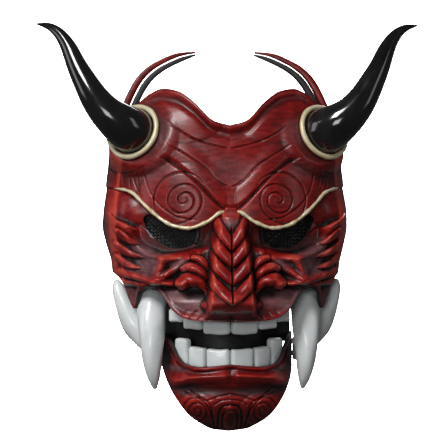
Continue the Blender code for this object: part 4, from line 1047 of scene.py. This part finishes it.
make_tusk("front_tusk", [(-56, -51, -54), (-57.5, -57, -63), (-58.8, -67, -79), (-58.8, -74, -98),
                         (-58.2, -75, -112), (-57.2, -73, -124), (-56.3, -70, -132)],
          [(0, 9.5), (0.12, 11), (0.3, 11.1), (0.58, 9.1), (0.75, 7.3), (0.9, 4.7), (1, 1.6)], MASK)
make_tusk("side_tusk", [(-52.6, -43, -104), (-58.3, -43, -100.5), (-64, -42, -94.5), (-71.5, -41, -86),
                        (-77.5, -39, -74.5), (-82, -37, -64), (-84.7, -35, -55.5), (-85.8, -33.5, -51.3)],
          [(0, 7.4), (0.15, 8.9), (0.38, 9.5), (0.6, 8.3), (0.8, 6.2), (0.93, 4.3), (1, 2.2)], JAW)


def arch_y(x, arch):
    """The y of a curved row or sheet at x."""
    return arch[0] + arch[1] * x * x


def make_tooth(node, near, far, low, high, arch, body, root_up, seed):
    """A worn, rounded block on the arch, a little narrower towards its root."""
    middle = (near + far) / 2
    turn = math.atan(2 * arch[1] * middle)
    half = np.array(((far - near) / math.cos(turn) / 2 - 0.12, 3.5, (high - low) / 2))
    corner = min(2.3, half[0] * 0.6, half[2] * 0.55)
    steps = 16
    work = bmesh.new()
    bmesh.ops.create_cube(work, size=2.0)
    bmesh.ops.subdivide_edges(work, edges=work.edges[:], cuts=steps - 1, use_grid_fill=True)
    work.verts.index_update()
    vertices = []
    for v in work.verts:
        p = np.array(v.co) * half
        core = np.clip(p, -(half - corner), half - corner)
        away = p - core
        length = np.linalg.norm(away)
        if length > 1e-6:
            p = core + away * (corner / length)
        root = (p[2] / half[2]) * (1 if root_up else -1) * 0.5 + 0.5
        p[0] *= 1.0 - 0.03 * root ** 2
        p[1] -= 0.9 * (1 - (p[0] / half[0]) ** 2) * (1 - 0.8 * (p[2] / half[2]) ** 2) * (p[1] < 0)
        p[0] += 0.12 * math.sin(seed * 2.1 + p[2] * 0.45)
        p[2] += 0.30 * math.sin(seed * 1.3 + p[0] * 0.35)
        turned = Matrix.Rotation(turn, 3, "Z") @ Vector(p)
        vertices.append((turned.x + middle, turned.y + arch_y(middle, arch), turned.z + (low + high) / 2))
    faces = [tuple(v.index for v in f.verts) for f in work.faces]
    work.free()
    made = new_piece(node + "_skin", vertices, faces, [LOOKS["ivory"]], body, None, 180.0)
    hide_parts(node)


for order, (near, far, tip) in enumerate(UPPER_TEETH):
    make_tooth(f"upper_tooth_{3 - order}", -far, -near, tip, UPPER_ROOT_Z, UPPER_ARCH, MASK, True, 3 - order)
    make_tooth(f"upper_tooth_{4 + order}", near, far, tip, UPPER_ROOT_Z, UPPER_ARCH, MASK, True, 4 + order)
for order, (near, far, tip) in enumerate(LOWER_TEETH):
    make_tooth(f"lower_tooth_{3 - order}", -far, -near, LOWER_ROOT_Z, tip, LOWER_ARCH, JAW, False, 13 - order)
    make_tooth(f"lower_tooth_{4 + order}", near, far, LOWER_ROOT_Z, tip, LOWER_ARCH, JAW, False, 14 + order)


# ---------------------------------------------------------------- bands, screens and pads

BAND_FRONT_Y = -16.0
BAND_REAR_Y = -3.0
BAND_FOOT_Z = 58.0
BAND_FOOT_X = -box_of("left_crown_band")[0].x
BAND_OUTER = ([(0, BAND_FOOT_X), (0.15, 84), (0.3, 77.5), (0.45, 71), (0.6, 61), (0.72, 51), (0.86, 37),
               (1, 23.5)],
              [(0, BAND_FOOT_Z), (0.15, 78), (0.3, 94), (0.45, 106), (0.6, 116), (0.72, 121.5), (0.86, 127),
               (1, 128)])
BAND_INNER = ([(0, 77), (0.15, 72), (0.3, 66), (0.45, 58), (0.6, 49), (0.72, 40), (0.86, 30), (1, 23)],
              [(0, BAND_FOOT_Z), (0.15, 76), (0.3, 91), (0.45, 104), (0.6, 112), (0.72, 117), (0.86, 121.5),
               (1, 124.5)])


def make_band(kind, low, high, look):
    """One layer of a crown band, with rounded edges."""
    shares = np.linspace(0.0, 1.0, 150)
    outer = np.stack([profile(line)(shares) for line in BAND_OUTER], axis=1)
    inner = np.stack([profile(line)(shares) for line in BAND_INNER], axis=1)
    outer = rounded_path(outer, 60)
    inner = rounded_path(inner, 60)
    loops = []
    for share, out, back in zip(shares, outer, inner):
        seam = low + 0.027 * (1 + 3 * share) * (low > 0)
        near = back + (out - back) * seam
        far = back + (out - back) * high
        front = BAND_REAR_Y + (BAND_FRONT_Y - BAND_REAR_Y) * (1.0 - 0.6 * share)
        middle = (near + far) / 2
        across = (far - near) / 2
        loop = []
        for k in range(20):
            a = 2 * math.pi * k / 20
            u = math.copysign(abs(math.cos(a)) ** 0.45, math.cos(a))
            v = math.copysign(abs(math.sin(a)) ** 0.45, math.sin(a))
            place = middle + across * u
            loop.append((-place[0], (front + BAND_REAR_Y) / 2 + v * (BAND_REAR_Y - front) / 2, place[1]))
        loops.append(loop)
    vertices, faces = skin(loops)
    both_sides(kind, vertices, faces, look, MASK)


make_band("crown_band", 0.45, 1.0, "red_lacquer")
make_band("band_lining", 0.0, 0.45, "dark_lining")


def inside_outline(x, z, outline):
    """True where a point lies inside a closed outline."""
    inside = False
    for (x0, z0), (x1, z1) in zip(outline, np.roll(outline, -1, axis=0)):
        if (z0 > z) != (z1 > z) and x < x0 + (z - z0) / (z1 - z0) * (x1 - x0):
            inside = not inside
    return inside


def grown(outline, by):
    """An outline moved outwards from its middle."""
    middle = outline.mean(axis=0)
    away = outline - middle
    return middle + away * (1 + by / np.linalg.norm(away, axis=1)[:, None])


def screen_y(x):
    """The plane of the eye screens, behind the socket's floor."""
    return EYE_FLOOR_Y + EYE_FLOOR_SLOPE * (abs(x) - EYE_MIDDLE_X) + EYE_SCREEN_SETBACK


def make_eye_screens():
    """A woven black wire cloth in a thin frame behind each eye, with a solid near-black sheet behind the wire
    as painted shade for the dark inside of the mask.
    """
    outline = grown(eye_outline(), 2.6)
    pitch, wire = 1.9, 0.34
    vertices, faces = [], []

    def include(part):
        start = len(vertices)
        vertices.extend(part[0])
        faces.extend(tuple(v + start for v in face) for face in part[1])

    for lean in (-1, 1):
        along = np.array((math.cos(math.radians(40)), lean * math.sin(math.radians(40))))
        across = np.array((-along[1], along[0]))
        middle = outline.mean(axis=0)
        for row in range(-24, 25):
            run = []
            for step in np.arange(-34.0, 34.0, pitch / 4):
                x, z = middle + across * row * pitch + along * step
                if inside_outline(x, z, outline):
                    over = lean * 0.30 * math.sin(math.pi * step / pitch + math.pi * row)
                    run.append((-x, screen_y(x) + over, z))
            if len(run) > 6:
                include(skin(tube_loops(run, [wire] * len(run), 5)))
    # Solid near-black sheet behind the wire: painted shade for the dark inside of the mask, in place of a sheer
    # black cloth.
    shade_backing = [[(-x, screen_y(x) + lift, z) for x, z in outline] for lift in (0.55, 1.0)]
    include(skin(shade_backing))
    rim = [(-x, screen_y(x), z) for x, z in outline]
    include(skin(tube_loops([*rim, rim[0]], [0.9] * (len(rim) + 1), 8)))
    both_sides("eye_screen", vertices, faces, "black_mesh", MASK)


def make_mouth_screen():
    """The black sheet behind the teeth and the corners of the mouth."""
    loops = []
    corners = [side * x for side in (-1, 1) for x in MOUTH_SCREEN_LOW[0]]
    for x in np.unique(np.concatenate((np.linspace(-MOUTH_SCREEN_HALF, MOUTH_SCREEN_HALF, 100), corners))):
        y = arch_y(x, SCREEN_ARCH)
        heights = np.linspace(float(np.interp(abs(x), *MOUTH_SCREEN_LOW)), MOUTH_SCREEN_TOP, 18)
        loops.append([(x, y, z) for z in heights] + [(x, y + 1.0, z) for z in heights[::-1]])
    vertices, faces = skin(loops)
    made = new_piece("mouth_screen_skin", vertices, faces, [LOOKS["black_mesh"]], MASK)
    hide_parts("mouth_screen")


def make_pad(node):
    """A crowned foam pad with a piped seam round its edge, in its CAD solid's space."""
    low, high = box_of(node)
    solid = np.array([v.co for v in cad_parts[node].data.vertices]) / MM
    back = {}
    for x, y, z in solid:
        key = (round(float(x), 1), round(float(z), 1))
        back[key] = max(back.get(key, -1e9), float(y))
    places = np.array([(x, z, y) for (x, z), y in back.items()])
    half_x, half_z = (high.x - low.x) / 2 - 0.4, (high.z - low.z) / 2 - 0.4
    middle_x, middle_z = (high.x + low.x) / 2, (high.z + low.z) / 2
    thick = 7.4
    rings, sides = 24, 96
    loops = []
    for i in range(-rings, rings + 1):
        lift = math.sin(math.pi * i / (2 * rings))
        reach = math.cos(math.pi * i / (2 * rings)) ** 0.42 * (1.0 - 0.035 * (1 - abs(lift)) ** 6)
        loop = []
        for k in range(sides):
            a = 2 * math.pi * k / sides
            u = math.copysign(abs(math.cos(a)) ** 0.5, math.cos(a)) * reach
            v = math.copysign(abs(math.sin(a)) ** 0.5, math.sin(a)) * reach
            x, z = middle_x + half_x * u, middle_z + half_z * v
            near = 1.0 / (np.hypot(places[:, 0] - x, places[:, 1] - z) + 0.4) ** 3
            y = float((near * places[:, 2]).sum() / near.sum())
            crown = 1.0 - 0.22 * max(abs(u), abs(v)) ** 3
            wrinkle = 0.12 * math.sin(x * 0.8 + z * 1.3) * max(0.0, lift)
            loop.append((x, y - thick / 2 + thick / 2 * lift * crown + wrinkle, z))
        loops.append(loop)
    made = new_piece(node + "_skin", *skin(loops), [LOOKS["foam"]], MASK, None, 180.0)
    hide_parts(node)


make_eye_screens()
make_mouth_screen()
for pad in ("forehead_pad", "left_cheek_pad", "right_cheek_pad"):
    make_pad(pad)

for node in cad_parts.values():
    slot = node.data.materials[0].name.split(".")[0]
    node.data.materials[0] = LOOKS.get(slot, LOOKS["steel"])


# ---------------------------------------------------------------- studio

def make_backdrop():
    """A pale floor that curves up into a wall behind the mask."""
    floor_z, wall_y, bend = -0.55, 4.2, 1.2
    side = [(-2.5, floor_z)]
    for k in range(17):
        a = math.pi / 2 * k / 16
        side.append((wall_y - bend + bend * math.sin(a), floor_z + bend - bend * math.cos(a)))
    side.append((wall_y, 3.6))
    mesh = bpy.data.meshes.new("backdrop")
    vertices = [(x, y, z) for x in (-4.5, 4.5) for y, z in side]
    count = len(side)
    mesh.from_pydata(vertices, [], [(i, i + 1, count + i + 1, count + i) for i in range(count - 1)])
    mesh.materials.append(floor_look())
    mesh.shade_smooth()
    made = bpy.data.objects.new("backdrop", mesh)
    bpy.context.scene.collection.objects.link(made)
    made.visible_glossy = False
    made.visible_diffuse = False


def area_light(name, place, target, size, power, tint, spread_angle):
    """A rectangular soft light aimed at a point; sizes in metres, power in watts, spread in degrees."""
    lamp = bpy.data.lights.new(name, "AREA")
    lamp.shape = "RECTANGLE"
    lamp.spread = math.radians(spread_angle)
    lamp.size, lamp.size_y = size
    lamp.energy = power
    lamp.color = tint
    made = bpy.data.objects.new(name, lamp)
    made.location = place
    made.rotation_euler = (Vector(target) - Vector(place)).to_track_quat("-Z", "Y").to_euler()
    bpy.context.scene.collection.objects.link(made)


def make_world():
    """Pale to the eye, but dim as a light, so that the lamps shape the mask."""
    world = bpy.data.worlds.new("studio")
    world.use_nodes = True
    tree = world.node_tree
    seen = add(tree, "ShaderNodeLightPath").outputs["Is Camera Ray"]
    strength = spread(tree, seen, 0.0, 1.0, WORLD_LIGHT, WORLD_SEEN)
    tree.links.new(strength, tree.nodes["Background"].inputs["Strength"])
    tree.nodes["Background"].inputs["Color"].default_value = (1.0, 1.0, 1.0, 1.0)
    bpy.context.scene.world = world


def make_camera():
    """Nearly square to the face, a little to its left, at the height of the eyes."""
    target = Vector(CAMERA_TARGET) * MM
    azimuth, elevation = math.radians(CAMERA_AZIMUTH), math.radians(CAMERA_ELEVATION)
    away = Vector((math.sin(azimuth) * math.cos(elevation), -math.cos(azimuth) * math.cos(elevation),
                   math.sin(elevation)))
    camera = bpy.data.cameras.new("camera")
    camera.lens = CAMERA_LENS
    made = bpy.data.objects.new("camera", camera)
    made.location = target + away * CAMERA_DISTANCE
    made.rotation_euler = (-away).to_track_quat("-Z", "Y").to_euler()
    bpy.context.scene.collection.objects.link(made)
    bpy.context.scene.camera = made


make_backdrop()
make_world()
make_camera()
for light in LIGHTS:
    area_light(*light)
bpy.context.scene.view_settings.view_transform = "Standard"
